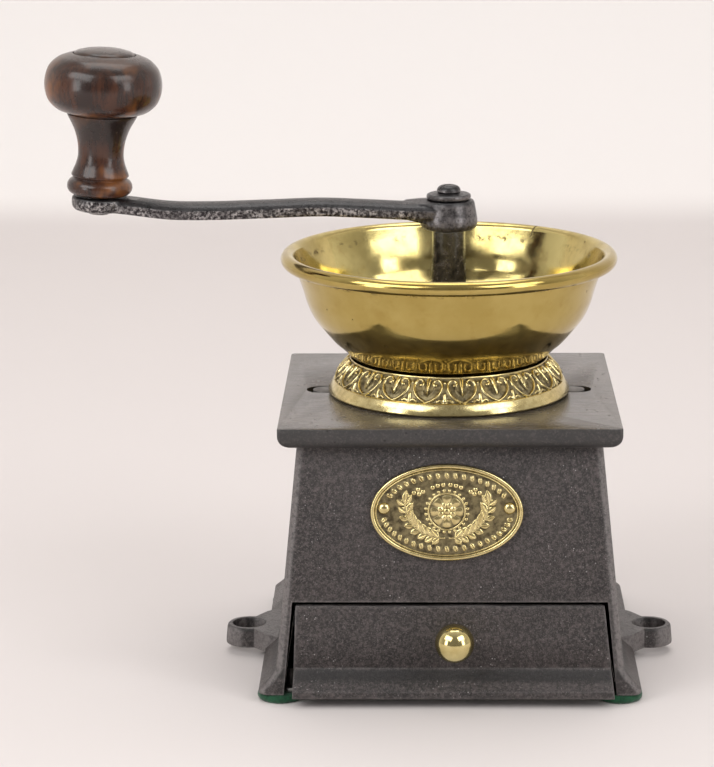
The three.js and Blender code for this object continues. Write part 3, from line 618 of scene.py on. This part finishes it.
def case_ring(z, inset=0.0, radius=3.0, flare=0.0):
    width = half_width(z) - inset
    depth = -front_face(z) - inset
    return slab_ring((-width - flare, -depth), (width + flare, depth + flare), radius, z)


def lug_outline(reach):
    """Half of it is worked out, from the flare round the eye, and mirrored."""
    root = half_width(0) + FLARE_OUT
    neck = smooth_line([(root - 5, -16.5), (root - 0.6, -14), (root + 2.2, -10.2), (LUG_EYE - 2, -reach)], 10)
    return neck + arc((LUG_EYE, 0), reach, -88, 88, 24) + [(x, -y) for x, y in reversed(neck)]


def make_lug(side):
    levels = [(0, LUG_RADIUS), (1.2, LUG_RADIUS), (5.4, 7.8), (6.3, 7.55), (6.7, 7.1)]
    lug = loft("lug", [[(x, y, z) for x, y in lug_outline(reach)] for z, reach in levels])
    hole = lathe("hole", [(0, -1), (5.75, -1), (5.6, 6.0), (6.2, 7.2), (0, 7.2)], 48)
    boolean(lug, raised(hole, LUG_EYE, 0, 0))
    if side < 0:
        transform(lug, Matrix.Rotation(math.pi, 4, "Z"))
    return lug


def make_case():
    rim = [(0.0, FLARE_OUT - 0.5), (0.25, FLARE_OUT - 0.12), (0.6, FLARE_OUT)]
    flare = [(z, flare_at(z)) for z in np.linspace(FLARE_RIM - 0.2, FLARE_HEIGHT, 14)]
    foot = [(10.2, 0), (CASE_TOP, 0)]
    outside = [case_ring(z, flare=out) for z, out in rim + flare + foot]
    inside = [case_ring(z, inset=WALL, radius=1.5) for z in (CASE_TOP, 0)]
    case = loft("case_shell", outside + inside, closed=True)
    top, lip = 31.6, 0.25
    doorway = [(x * (half_width(z) - WALL - lip), z) for x, z in ((-1, -1), (1, -1), (1, top), (-1, top))]
    cutter = loft("doorway", [[(x, y, z) for x, z in doorway] for y in (-40, -80)])
    boolean(case, cutter)
    for side in (-1, 1):
        boolean(case, make_lug(side), operation="UNION")
    return soften(case, 0.45, 3, 42)


place(make_case(), "case", "black_iron", "body_casting")


# -------- top plate

def make_top_plate():
    half_x, half_y = plate_corner[:2]
    edge, throat_radius = 4.5, 34
    bottom = [(CASE_TOP + edge * (1 - math.cos(a)), edge * (1 - math.sin(a)))
              for a in np.radians(np.linspace(0, 90, 9))]
    levels = bottom + [(PLATE_TOP - 0.5, 0), (PLATE_TOP - 0.15, 0.1), (PLATE_TOP, 0.42)]
    rings = [slab_ring((inset - half_x, inset - half_y), (half_x - inset, half_y - inset), 1.2, z)
             for z, inset in levels]
    plate = loft("top_slab", rings)
    notch = slab_ring((-49.2, -4.8), (49.2, 4.8), 4.79, 0, corner_steps=12)
    cut = prism("notch", [(x, y) for x, y, _ in notch], PLATE_TOP - 3, PLATE_TOP + 1)
    below, above = CASE_TOP - 1, PLATE_TOP + 1
    throat = lathe("throat", [(0, below), (throat_radius, below), (throat_radius, above), (0, above)])
    boolean(plate, throat, cut)
    return soften(plate, 0.25, 2, 50)


place(make_top_plate(), "case", "worn_iron", "top_plate")


# -------- grinding shell and cone

def make_shell():
    flange, throat, teeth, bottom = 33.4, 23.5, 19.2, 44
    outside = [(24.2, bottom), (25.2, 62), (26.8, 80), (29.2, CASE_TOP - 0.8), (flange, CASE_TOP + 0.5),
               (flange, PLATE_TOP - 0.3), (flange - 0.3, PLATE_TOP)]
    inside = [(throat + 0.8, PLATE_TOP), (throat, PLATE_TOP - 0.8), (throat, 84), (22, 74), (teeth, 60),
              (teeth, bottom)]
    tooth_count, tooth_depth = 24, 1.6
    angles = whole_turn(12 * tooth_count)
    groove = tooth_depth * np.abs(((angles * tooth_count / (2 * math.pi)) % 1) - 0.5) * 2
    rings = []
    for radius, z in outside + inside:
        reach = radius + (groove if (radius == teeth and z <= 60) else 0)
        rings.append(round_ring(angles, reach, z))
    shell = loft("shell_casting", rings, closed=True)
    ear = [(x, y) for x, y, _ in slab_ring((28, -4), (47, 4), 3.99, 0, corner_steps=12)]
    for side in (-1, 1):
        tool = prism("ear", [(side * x, side * y) for x, y in ear], PLATE_TOP - 2.7, PLATE_TOP)
        boolean(shell, tool, operation="UNION")
    low = 84.2
    hub = lathe("hub", [(0, low), (9.8, low), (10.5, low + 0.8), (10.5, PLATE_TOP - 0.9), (9.6, PLATE_TOP),
                        (0, PLATE_TOP)], 72)
    bar = box("bar", (-24.6, -4.5, low), (24.6, 4.5, PLATE_TOP - 0.3))
    boolean(hub, soften(bar, 1.2, 3), operation="UNION")
    boolean(hub, lathe("bore", [(0, 80), (6.7, 80), (6.7, 95), (0, 95)], 72))
    boolean(shell, hub, operation="UNION")
    return soften(shell, 0.2, 2, 60)


def make_cone():
    low, high = extent("grinding_cone")
    bottom, top = low[2], high[2]
    wide, narrow, bore, lead = 18.4, 7.4, 5.3, 1.3
    rows, ribs = 56, 10
    angles = whole_turn(400)
    rings = []
    for t in np.linspace(0, 1, rows):
        narrowing = 0.15 * t if t < 0.2 else 0.03 + 0.97 * (t - 0.2) / 0.8
        radius = wide + (narrow - wide) * narrowing
        phase = (angles - lead * t) * ribs / (2 * math.pi) % 1
        rib = np.clip(np.minimum(phase, 1 - phase) * 5 - 0.6, 0, 1)
        fine = 0.35 * np.abs(((angles * 5 * ribs / (2 * math.pi) - 3 * t) % 1) - 0.5) * (t < 0.3)
        rings.append(round_ring(angles, radius * (1 - 0.15 * rib) - fine, bottom + (top - bottom) * t))
    rings += [round_ring(angles, bore, z) for z in (top, bottom)]
    return loft("burr_cone", rings, closed=True)


place(make_shell(), "case", "burr_iron", "grinding_shell")
place(make_cone(), "crank", "burr_iron", "grinding_cone")


# -------- hopper

def make_bowl():
    base = PLATE_TOP + GAP
    foot = [(23.5, base), (30.6, base), (31, base + 0.4), (31.1, 97.5), (31.9, 101.6)]
    belly = smooth_line([(33.2, 103.7), (37.1, 107.6), (40.4, 110.6), (46.1, 117.6), (48.7, 122.9),
                         (50.5, 128.9), (53.2, 136.5)], 60)
    outside = foot + belly
    inside = offset_line(outside, 1.0)[::-1]
    roll = arc((55.2, 137.97), 2.46, 215, 525, 40)
    return lathe("hopper_shell", outside[:-1] + roll + inside[1:], 256, sharp=50)


def line_distance(x, y, line):
    """The distance of points from a line, and how far along the line the nearest part is."""
    line = np.asarray(line, float)
    best = np.full(x.shape, 1e9)
    where = np.zeros(x.shape)
    for i, (a, b) in enumerate(zip(line[:-1], line[1:])):
        span = b - a
        t = np.clip(((x - a[0]) * span[0] + (y - a[1]) * span[1]) / (span @ span), 0, 1)
        distance = np.hypot(x - a[0] - t * span[0], y - a[1] - t * span[1])
        closer = distance < best
        best = np.where(closer, distance, best)
        where = np.where(closer, (i + t) / (len(line) - 1), where)
    return best, where


def ridge(distance, width):
    """A round ridge of height 1 and the given half width."""
    return np.sqrt(np.clip(1 - (distance / width) ** 2, 0, None))


def leaf_band(u, v):
    """The relief of one repeat of the leaf band. u runs across from its middle, v up from the foot."""
    across = np.abs(u)
    heart = smooth_line([(0, 0.2), (1.7, 1.1), (3.2, 2.4), (4.3, 4.3), (4.75, 6.4), (4.5, 8.4), (3.6, 9.6),
                         (2.4, 9.6), (1.75, 8.6), (1.9, 7.6), (2.5, 7.4)], 60)
    distance, where = line_distance(across, v, heart)
    outline = ridge(distance, 0.46 + 0.22 * (where > 0.93))
    stem, along = line_distance(across, v, [(0, 2.8), (0, 9.6)])
    stem_ridge = 1.1 * ridge(stem, 0.2 + 0.75 * along)
    side_vein, _ = line_distance(across, v, [(0.9, 3.2), (1.9, 5.2), (1.6, 7.4)])
    between = 5.85  # half way to the next heart
    dart, _ = line_distance(across, v, [(between, 0.2), (between, 3.6)])
    frond, _ = line_distance(across, v, [(between, 0.3), (4.5, 1.3), (3.5, 0.6)])
    bud = 0.7 * ridge(np.hypot(across - between, v - 8.6), 0.7)
    hollow = -0.35 * np.clip(1 - (across / 4.4) ** 2 - ((v - 6) / 4.6) ** 2, 0, 1)
    top_lip = np.clip((v - 10.3) / 0.4, 0, 1) * 0.8
    foot_lip = np.clip((0.25 - v) / 0.3, 0, 1) * 0.7
    layers = [outline, stem_ridge, 0.22 * ridge(side_vein, 0.35), 0.8 * ridge(dart, 0.5),
              0.65 * ridge(frond, 0.5), bud, top_lip, foot_lip]
    raised_part = np.maximum.reduce(layers)
    return np.where(raised_part > 0.05, raised_part, hollow)


def make_foot_ring():
    base = PLATE_TOP + GAP
    repeats, columns = 20, 46
    repeat_width, band_height = 11.6, 11.0  # of one repeat, as leaf_band draws it
    relief_depth, relief_sink = 0.68, 0.14
    angles = whole_turn(repeats * columns)
    band = [(41.35, base), (41.6, base + 0.2), (41.65, base + 0.6), (39.95, base + 3.75),
            (39.75, base + 3.95), (39.5, base + 4.0)]
    flank = smooth_line([(39.3, base + 4.05), (38.6, 97.6), (37.3, 99.4), (35.6, 101.3), (33.75, 103.3)], 64)
    steps = np.hypot(*np.diff(np.array(flank), axis=0).T)
    heights_up = np.concatenate([[0], np.cumsum(steps)])
    normals = np.array(offset_line(flank, -1.0)) - np.array(flank)
    start = math.radians(6.6 - 90)  # a heart stands a little to the right of the front
    sweep = ((angles - start) * repeats / (2 * math.pi) + 0.5) % 1 - 0.5
    rings, relief = [], []

    def add_ring(radius, z, height):
        rings.append(round_ring(angles, radius, z))
        relief.append(height + 0 * angles)

    for radius, z in band:
        add_ring(radius, z, 0.9)
    scale = band_height / heights_up[-1]
    for (radius, z), up, normal in zip(flank, heights_up, normals):
        width = 2 * math.pi * radius / repeats
        across = sweep * repeat_width * (0.55 + 0.45 * width / repeat_width)
        height = leaf_band(across, up * scale + 0 * angles)
        push = relief_depth * height - relief_sink
        add_ring(radius + normal[0] * push, z + normal[1] * push, height)
    inside = offset_line([(41.65, base), (41.4, base + 0.6), *flank[::12], flank[-1]], 1.0)[::-1]
    for radius, z in inside:
        add_ring(radius, z, 0.0)
    return store_relief(loft("leaf_ring", rings, closed=True, sharp=60), np.concatenate(relief))


place(make_bowl(), "case", "hopper_brass", "hopper_bowl")
place(make_foot_ring(), "case", "aged_brass", "hopper_foot_ring")


# -------- crank

# The middle of the arm's underside, from the boss to the pad.
ARM_LINE = [(-1, -1.2, 151.9), (-14, -2.4, 152.2), (-28, 0.2, 152.4), (-44, 3, 152.5), (-62, 0.2, 152.4),
            (-80, -2.9, 152.4), (-95, -2.4, 152.5), (-108, -1, 153.8), (-119.5, 0, 155)]


def make_spindle():
    low, high = extent("spindle")
    profile = [(0, low[2]), (3, low[2]), (5, low[2] + 2), (5, 78.2), (5.9, 78.2), (6.3, 79)]
    top = 147.7
    profile += smooth_line([(6.3, 112), (6.15, 122), (5.95, 131), (5.72, 142), (5.65, top)], 16)
    profile += [(0, top)]
    return lathe("spindle_shaft", profile, 96)


def make_arm():
    """The bar, boss and pad are joined, remeshed together and smoothed, as a casting's fillets are."""
    half = [(5.3, 0.1), (5.9, 0.6), (6.05, 3.35), (5.1, 4.4), (3.6, 5.15), (1.8, 5.5)]
    section = half + [(0, 5.6)] + [(-u, v) for u, v in reversed(half)]
    line = smooth_line(ARM_LINE, 80)
    rings = []
    for i, (x, y, z) in enumerate(line):
        ends = 1 + 0.12 * (2 * i / (len(line) - 1) - 1) ** 4
        rings.append([(x, y + u * ends, z + v) for u, v in section])
    bar = loft("crank_casting", rings)
    boss = lathe("boss", [(0, 148), (8.2, 148), (9.2, 148.4), (9.85, 149.6), (9.8, 151.5), (9.3, 154.5),
                          (8.9, 156.8), (8.5, 157.8), (8.0, 158), (0, 158)], 96)
    gable = ((-1, 0), (1, 0), (1, 1), (0, 1.12), (-1, 1))
    sizes = ((-4, 150, 7.6, 7.4), (-10, 150.9, 6.4, 6.6), (-15, 152, 5.4, 5.2))
    root = loft("root", [[(x, y * w, low + z * h) for y, z in gable] for x, low, w, h in sizes])
    pad = lathe("pad", [(0, -5.4), (7.2, -5.4), (8.5, -4.9), (9.2, -3.9), (9.4, -2.8), (9.4, -1.2),
                        (9.1, -0.6), (8.5, -0.35), (0, -0.35)], 96)
    transform(pad, GRIP)
    boolean(bar, boss, root, pad, operation="UNION")
    modify(bar, "REMESH", mode="VOXEL", voxel_size=0.32 * MM)
    modify(bar, "SMOOTH", factor=0.5, iterations=4)
    apply_modifiers(bar)
    clear_top = transform(lathe("clear_top", [(0, -0.3), (14, -0.3), (14, 4), (0, 4)], 64), GRIP)
    pin_hole = transform(lathe("pin_hole", [(0, -20), (3.5, -20), (3.5, 3), (0, 3)], 32), GRIP)
    tang_hole = box("tang_hole", (-4.3, -4.3, 140), (4.3, 4.3, 170))
    boolean(bar, clear_top, pin_hole, tang_hole)
    return shade(bar, 50)


def make_screw_head(name, head, height, slot, length, shank, turn):
    """A domed, slotted head that bears at z = 0 with a plain shank below it."""
    dome = [(head * (0.4 + 0.6 * math.cos(a)), height * (0.12 + 0.88 * math.sin(a)))
            for a in np.radians(np.linspace(0, 90, 9))]
    bottom = [(0, -length), (shank, -length), (shank, 0), (head * 0.96, 0)]
    screw = lathe(name, bottom + dome + [(0, height)], 56)
    cutter = box("slot", (-head - 1, -slot / 2, height * 0.42), (head + 1, slot / 2, height + 1))
    boolean(screw, transform(cutter, Matrix.Rotation(math.radians(turn), 4, "Z")))
    return soften(screw, 0.12, 2, 40)


def make_crank_washer():
    bottom = 158.2
    profile = [(2.3, 0), (6.9, 0), (7.45, 0.4), (7.6, 1.0), (7.45, 1.6), (6.9, 1.9), (5.6, 1.75), (4.6, 2.2),
               (2.3, 2.4)]
    return lathe("boss_washer", [(r, bottom + z) for r, z in profile], 80)


place(make_spindle(), "crank", "crank_iron", "spindle", SHAFT_IRON)
place(make_arm(), "crank", "crank_iron", "crank_arm")
place(make_crank_washer(), "crank", "crank_iron", "crank_washer")
crank_screw = raised(make_screw_head("boss_screw", 4.1, 2.4, 1.3, 12, 2, 35), 0, 0, 160.7)
place(crank_screw, "crank", "crank_iron", "crank_screw")
for name, y in (("front", -27), ("back", 27)):
    screw = make_screw_head(f"bowl_screw_{name}", 2.7, 1.6, 1.0, 6, 1.5, 20 * y)
    raised(screw, 0, y, PLATE_TOP + 1.4)
    place(screw, "case", "steel", f"hopper_screw_{name}")


# -------- grip

def make_grip():
    bead = arc((8.3, 3.1), 2.9, -90, 66, 14)
    stem = [(9.25, 6.05), (9.3, 6.35)]
    stem += smooth_line([(9.75, 6.75), (9.8, 7.3), (9.2, 8.8), (8.3, 11.2), (7.8, 14), (8.1, 18.2),
                         (9.5, 22.8), (11.9, 27.4)], 40)
    seam = [(11.95, 27.75), (11.6, 27.95), (11.7, 28.25), (12.3, 28.3)]
    cap = smooth_line([(13.2, 28.5), (15.7, 29.5), (18.3, 31.9), (19.6, 34.9), (20.0, 37.9), (19.65, 41),
                       (18.5, 44), (16, 46.5), (13.2, 47.8), (11.1, 48.45)], 44)
    seat = [(10.75, 48.35), (10.7, 46.6), (6.5, 46.6), (6.5, 43.3), (3.6, 43.3), (3.6, 0.2)]
    return lathe("grip_turning", bead + stem + seam + cap + seat, 160, sharp=45)


def make_plug():
    profile = [(0, 46.9), (10.4, 46.9), (10.4, 48.3), (10.2, 48.7), (9.2, 49.3), (6.5, 50.0), (3.2, 50.35),
               (0, 50.5)]
    return lathe("grip_plug", profile)


for piece, node in ((make_grip(), "knob_grip"), (make_plug(), "knob_plug")):
    place(transform(piece, GRIP), "grip", "dark_walnut", node)


# -------- badge

BADGE_A, BADGE_B = 25.4, 16.25
BADGE_X, BADGE_UP = -1.0, 62.37
RIVET_X, RIVET_UP = 20.8, 1.4  # from the badge's middle


def leaf_shape(x, y, base, tip, width):
    """A pointed leaf with a vein, from its base to its tip."""
    axis = np.subtract(tip, base)
    length = np.hypot(*axis)
    along = ((x - base[0]) * axis[0] + (y - base[1]) * axis[1]) / length**2
    side = np.abs((x - base[0]) * axis[1] - (y - base[1]) * axis[0]) / length
    half = width * np.sin(np.clip(along, 0, 1) * math.pi) ** 0.8 + 1e-6
    body = np.where((along > 0) & (along < 1), np.sqrt(np.clip(1 - (side / half) ** 2, 0, 1)), 0)
    vein = np.where(body > 0, 0.35 * np.exp(-((side / 0.12) ** 2)), 0)
    return 0.85 * body - vein


def bean_shape(x, y, centre, angle, length, width):
    """A coffee bean with its groove."""
    dx, dy = x - centre[0], y - centre[1]
    along = dx * math.cos(angle) + dy * math.sin(angle)
    side = dy * math.cos(angle) - dx * math.sin(angle)
    body = np.sqrt(np.clip(1 - (along / length) ** 2 - (side / width) ** 2, 0, 1))
    groove = np.exp(-(((side - 0.08 * np.sin(along * 2.4)) / 0.11) ** 2))
    return body * (1 - 0.7 * groove)


def badge_relief(x, y, a, b):
    """A made-up ornament: a ring of coffee beans round a rosette between two leafy sprigs."""
    edge = np.hypot(x / a, y / b)
    inset = (1 - edge) * (a * b) / np.hypot(b * x / a, a * y / b).clip(1e-3) * edge.clip(1e-3)
    inset = np.where(edge < 0.3, 9, inset)
    layers = [1.15 * ridge(inset - 0.72, 0.75), 0.7 * ridge(inset - 1.85, 0.3)]
    beans, ring_a, ring_b = 46, a - 4.1, b - 3.9
    for i in range(beans):
        t = 2 * math.pi * (i + 0.5) / beans
        cx, cy = ring_a * math.cos(t), ring_b * math.sin(t)
        beside_rivet = abs(cx) > 16.8 and abs(cy - RIVET_UP) < 3.4
        if beside_rivet:
            continue
        tangent = math.atan2(ring_b * math.cos(t), -ring_a * math.sin(t))
        layers.append(0.85 * bean_shape(x, y, (cx, cy), tangent + math.pi / 2 + 0.3, 1.2, 0.82))
    across = np.abs(x)
    sprig = smooth_line([(0.9, -8.6), (5.0, -8.1), (9.4, -5.9), (12.9, -1.9), (14.0, 3.0)], 40)
    distance, _ = line_distance(across, y, sprig)
    layers.append(0.6 * ridge(distance, 0.4))
    for i in range(4, 40, 5):
        (px, py), (qx, qy) = sprig[i], sprig[i + 1]
        heading = math.atan2(qy - py, qx - px)
        for turn, length in ((0.75, 4.3), (-0.8, 3.3)):
            tip = (px + length * math.cos(heading + turn), py + length * math.sin(heading + turn))
            layers.append(leaf_shape(across, y, (px, py), tip, 1.2))
    layers.append(leaf_shape(across, y, sprig[-1], (13.4, 7.6), 1.25))
    berries = ((7.9, 7.0), (9.5, 7.7), (10.9, 6.6), (9.2, 6.2), (3.0, 9.0), (4.7, 8.4), (1.2, 9.3))
    for px, py in berries:
        layers.append(0.85 * ridge(np.hypot(across - px, y - py), 0.85))
    rosette_y = 0.4
    angle = np.arctan2(y - rosette_y, x)
    radius = np.hypot(x, y - rosette_y)
    petals = np.abs(np.cos(angle * 4))
    inner_petals = np.abs(np.sin(angle * 4))
    layers.append(0.8 * ridge(radius - 3.9, 1.7) * (0.35 + 0.65 * petals))
    layers.append(1.0 * ridge(radius - 2.2, 1.1) * (0.4 + 0.6 * inner_petals))
    layers.append(1.1 * ridge(radius, 1.2))
    layers.append(0.65 * ridge(radius - 6.1, 0.4))
    bead_ring, bead_angle = 7.0, math.pi / 12
    beside_bead = bead_ring * ((angle / bead_angle) % 1 - 0.5) * bead_angle
    layers.append(0.75 * ridge(np.hypot(radius - bead_ring, beside_bead), 0.62))
    return np.maximum.reduce(layers)


def make_badge():
    a, b = BADGE_A, BADGE_B
    columns, rows = 560, 190
    thickness, relief_depth, doming = 0.85, 0.62, 0.35
    angles = whole_turn(columns)
    rings, relief = [], []

    def add_ring(part, z, height):
        rings.append(np.column_stack([a * part * np.cos(angles), b * part * np.sin(angles), z + 0 * angles]))
        relief.append(height + 0 * angles)

    add_ring(1.0, 0.0, 0.4)
    for part in np.linspace(1.0, 0.01, rows):
        x, y = a * part * np.cos(angles), b * part * np.sin(angles)
        height = badge_relief(x, y, a, b)
        add_ring(part, thickness + relief_depth * height + doming * (1 - part**2), height)
    return store_relief(loft("badge_stamping", rings, sharp=60), np.concatenate(relief))


badge = transform(make_badge(), on_front(BADGE_X, GAP, BADGE_UP))
place(badge, "case", "aged_brass", "badge_plate")
for name, side in (("left", -1), ("right", 1)):
    dome = [(2.0 * math.cos(t), 1.0 + 1.35 * math.sin(t)) for t in np.radians(np.linspace(0, 90, 10))]
    rivet = lathe(f"rivet_{name}", [(0, -4.4), (1.2, -4.4), (1.2, 1.0), *dome[:-1], (0, 2.35)], 48)
    store_relief(rivet, np.full(len(rivet.data.vertices), 0.75))
    transform(rivet, on_front(BADGE_X + side * RIVET_X, GAP, BADGE_UP + RIVET_UP))
    place(rivet, "case", "aged_brass", f"badge_rivet_{name}")


# -------- drawer

def make_drawer_front():
    """The left edge stands straighter than the doorway, so a dark gap widens beside it."""
    top, bottom, thickness = 30.2, 0.4, 3.0
    reach, rim_top = 5.9, 3.0
    left_foot, left_lean, right_foot, right_lean = -52.7, 1.1, 54.9, 3.3
    outer = [(front_face(z), z) for z in (top - 0.5, 20, FLARE_HEIGHT + 0.7)]
    outer.append((front_face(FLARE_HEIGHT) + 0.3, FLARE_HEIGHT + 0.25))
    flare = []
    for t in np.linspace(0, 1, 10):
        z = FLARE_HEIGHT - (FLARE_HEIGHT - rim_top) * t
        flare.append((front_face(z) - reach * t**1.2, z))
    rim = flare[-1][0]
    side_view = [(front_face(top) + thickness - 0.4, top), (front_face(top) + 0.4, top), *outer, *flare,
                 (rim - 0.1, rim_top - 0.5), (rim - 0.1, bottom + 0.5), (rim + 0.35, bottom),
                 (front_face(0) + thickness, bottom), (front_face(top) + thickness, top - 0.4)]
    columns, waves = 60, 12
    rng = np.random.default_rng(7)
    wave = np.interp(np.linspace(0, waves, columns + 1), np.arange(waves + 1), rng.normal(0, 0.11, waves + 1))
    rings = []
    for i in range(columns + 1):
        ring = []
        for y, z in side_view:
            left, right = left_foot + z * left_lean / top, right_foot - z * right_lean / top
            ring.append((left + (right - left) * i / columns, y, z + wave[i] * max(z - 26, 0) / 4))
        rings.append(ring)
    panel = loft("drawer_face", rings, sharp=30)
    return soften(panel, 0.35, 2, 55)


def make_tray():
    sheet, back, half, bottom, top = 0.9, 45, 49.5, 1.5, 26

    def ring(inset, z, radius=1.2):
        front_wall = front_face(z) + 3.3 + inset
        return slab_ring((-half + inset, front_wall), (half - inset, back - inset), radius, z, corner_steps=5)

    hem_line = [(0, 1.6), (0, 0.5), (0.35, 0.05), (0.9, 0), (1.3, 0.3), (1.45, 0.8), (1.4, 1.3), (1.05, 1.5),
                (sheet, 1.7)]
    hem = [ring(inset, top - down) for inset, down in hem_line]
    walls = [ring(0.6, bottom, 0.8), ring(0.15, bottom + 0.25), ring(0, bottom + 0.8)]
    inside = [ring(sheet, bottom + sheet + 0.7), ring(sheet + 0.6, bottom + sheet)]
    return loft("tray_sheet", walls + hem + inside, sharp=40)


def make_drawer_knob():
    middle, radius = 9.3, 6.55
    ball = arc((0, middle), radius, -66, 90, 40)[:-1] + [(0, middle + radius)]
    collar = [(0, -8), (1.9, -8), (1.9, GAP), (4.1, GAP), (4.6, 0.6), (4.5, 1.1), (3.8, 1.5), (3.1, 2.0),
              (2.6, 2.6)]
    return lathe("knob_turning", collar + ball, 96, sharp=40)


place(make_drawer_front(), "drawer", "black_iron", "drawer_front")
place(make_tray(), "drawer", "tinplate", "drawer_tray")
place(transform(make_drawer_knob(), KNOB), "drawer", "hopper_brass", "drawer_knob", KNOB_BRASS)


# -------- felt pads

def make_pad(name, seed):
    low, high = extent(f"felt_pad_{name}")
    centre = (low + high) / 2
    radius = (high[0] - low[0]) / 2
    rng = np.random.default_rng(seed)
    bottom = low[2]
    profile = [(0, bottom), (radius - 2, bottom), (radius - 0.5, bottom + 0.12), (radius - 0.1, bottom + 0.7),
               (radius, -1.6), (radius - 0.15, -0.7), (radius - 0.6, -0.12), (radius - 2, -0.02), (0, -0.02)]
    pad = lathe(f"felt_{name}", profile, 120, sharp=60)
    points = np.array([v.co for v in pad.data.vertices])
    rim = np.hypot(points[:, 0], points[:, 1]) > (radius - 1) * MM
    points[rim, :2] *= 1 - rng.uniform(0, 0.035, rim.sum())[:, None]
    pad.data.vertices.foreach_set("co", points.ravel())
    return raised(pad, centre[0], centre[1], 0)


for number, name in enumerate(("front_left", "back_left", "front_right", "back_right")):
    pad = make_pad(name, number)
    place(pad, "case", "green_felt", f"felt_pad_{name}")


# -------- looks of the CAD nodes that stay

for subpart in frame["record"]["subparts"]:
    node = frame["nodes"][subpart["node"]]
    for material_slot in node.material_slots:
        material_slot.material = SLOT_LOOKS[subpart["material_slot"]]


# -------- stage and light

MILL_MIDDLE = (0, 0, 0.09)


def paper():
    """Pale paper that turns into a lighter backdrop as it rises, where it also glows faintly as painted
    light, and glows a little far off.
    """
    look = Look("pale_paper", Roughness=0.85, Specular_IOR_Level=0.2)
    x, y, _ = look.split(look.at)
    risen = look.step(y, 812, 868)  # in the first part of the stage's curve
    front_reach = 1500  # how far in front of the mill the paper never glows
    remote = look.vector("LENGTH", look.join(x, look.math("MINIMUM", look.plus(y, front_reach), 0.0), 0))
    # Painted light: the rising backdrop glows faintly, and the far paper glows more.
    glow = look.plus(look.times(risen, 0.06), look.step(remote, 700, 3200, 0, 0.42))
    look.set(Base_Color=look.mix(risen, (0.69, 0.645, 0.63), (0.80, 0.765, 0.745)),
             Emission_Color=(1.0, 0.94, 0.90, 1), Emission_Strength=glow)
    return look.material


def build_stage():
    """A pale table that sweeps up behind into a backdrop."""
    table = extent("felt_pad_front_left")[0][2]
    near, far, radius, half, top = -4000, 780, 260, 4000, 3600
    line = [(near, table), *arc((far, table + radius), radius, -90, 0, 40), (far + radius, top)]
    points = [(x, y, z) for y, z in line for x in (-half, half)]
    faces = [(2 * i, 2 * i + 1, 2 * i + 3, 2 * i + 2) for i in range(len(line) - 1)]
    sweep = add_mesh("sweep", points, faces)
    sweep.data.materials.append(paper())


def softbox(name, at, size, power):
    """A rectangular lamp that faces the mill."""
    data = bpy.data.lights.new(name, "AREA")
    assign(data, {"shape": "RECTANGLE", "size": size[0], "size_y": size[1], "energy": power})
    lamp = add_object(name, data)
    direction = Vector(MILL_MIDDLE) - Vector(at)
    lamp.location = at
    lamp.rotation_euler = direction.to_track_quat("-Z", "Y").to_euler()


def build_light():
    """A soft room, paler behind the mill than in front, with two boxes on each side and one above."""
    world = bpy.data.worlds.new("studio")
    bpy.context.scene.world = world
    world.use_nodes = True
    tree = world.node_tree
    direction = tree.nodes.new("ShaderNodeTexCoord")
    split = tree.nodes.new("ShaderNodeSeparateXYZ")
    tree.links.new(direction.outputs["Generated"], split.inputs[0])
    ramp = tree.nodes.new("ShaderNodeMapRange")
    ramp.interpolation_type = "SMOOTHSTEP"
    tree.links.new(split.outputs["Y"], ramp.inputs["Value"])
    for name, number in (("From Min", -0.9), ("From Max", 0.6), ("To Min", 0.27), ("To Max", 0.92)):
        ramp.inputs[name].default_value = number
    background = tree.nodes["Background"]
    background.inputs["Color"].default_value = (1.0, 0.955, 0.925, 1)
    tree.links.new(ramp.outputs["Result"], background.inputs["Strength"])
    softbox("left_box", (-0.95, -0.88, 1.1), (1.3, 0.7), 11)
    softbox("right_box", (0.95, -0.88, 1.1), (1.1, 0.7), 8.5)
    softbox("left_low_box", (-1.05, -0.86, 0.36), (0.34, 0.6), 2.8)
    softbox("right_low_box", (1.05, -0.86, 0.36), (0.34, 0.6), 2.8)
    softbox("top_box", (0.0, 0.4, 1.7), (1.2, 1.0), 9)


build_stage()
build_light()
bpy.context.scene.view_settings.view_transform = "Standard"
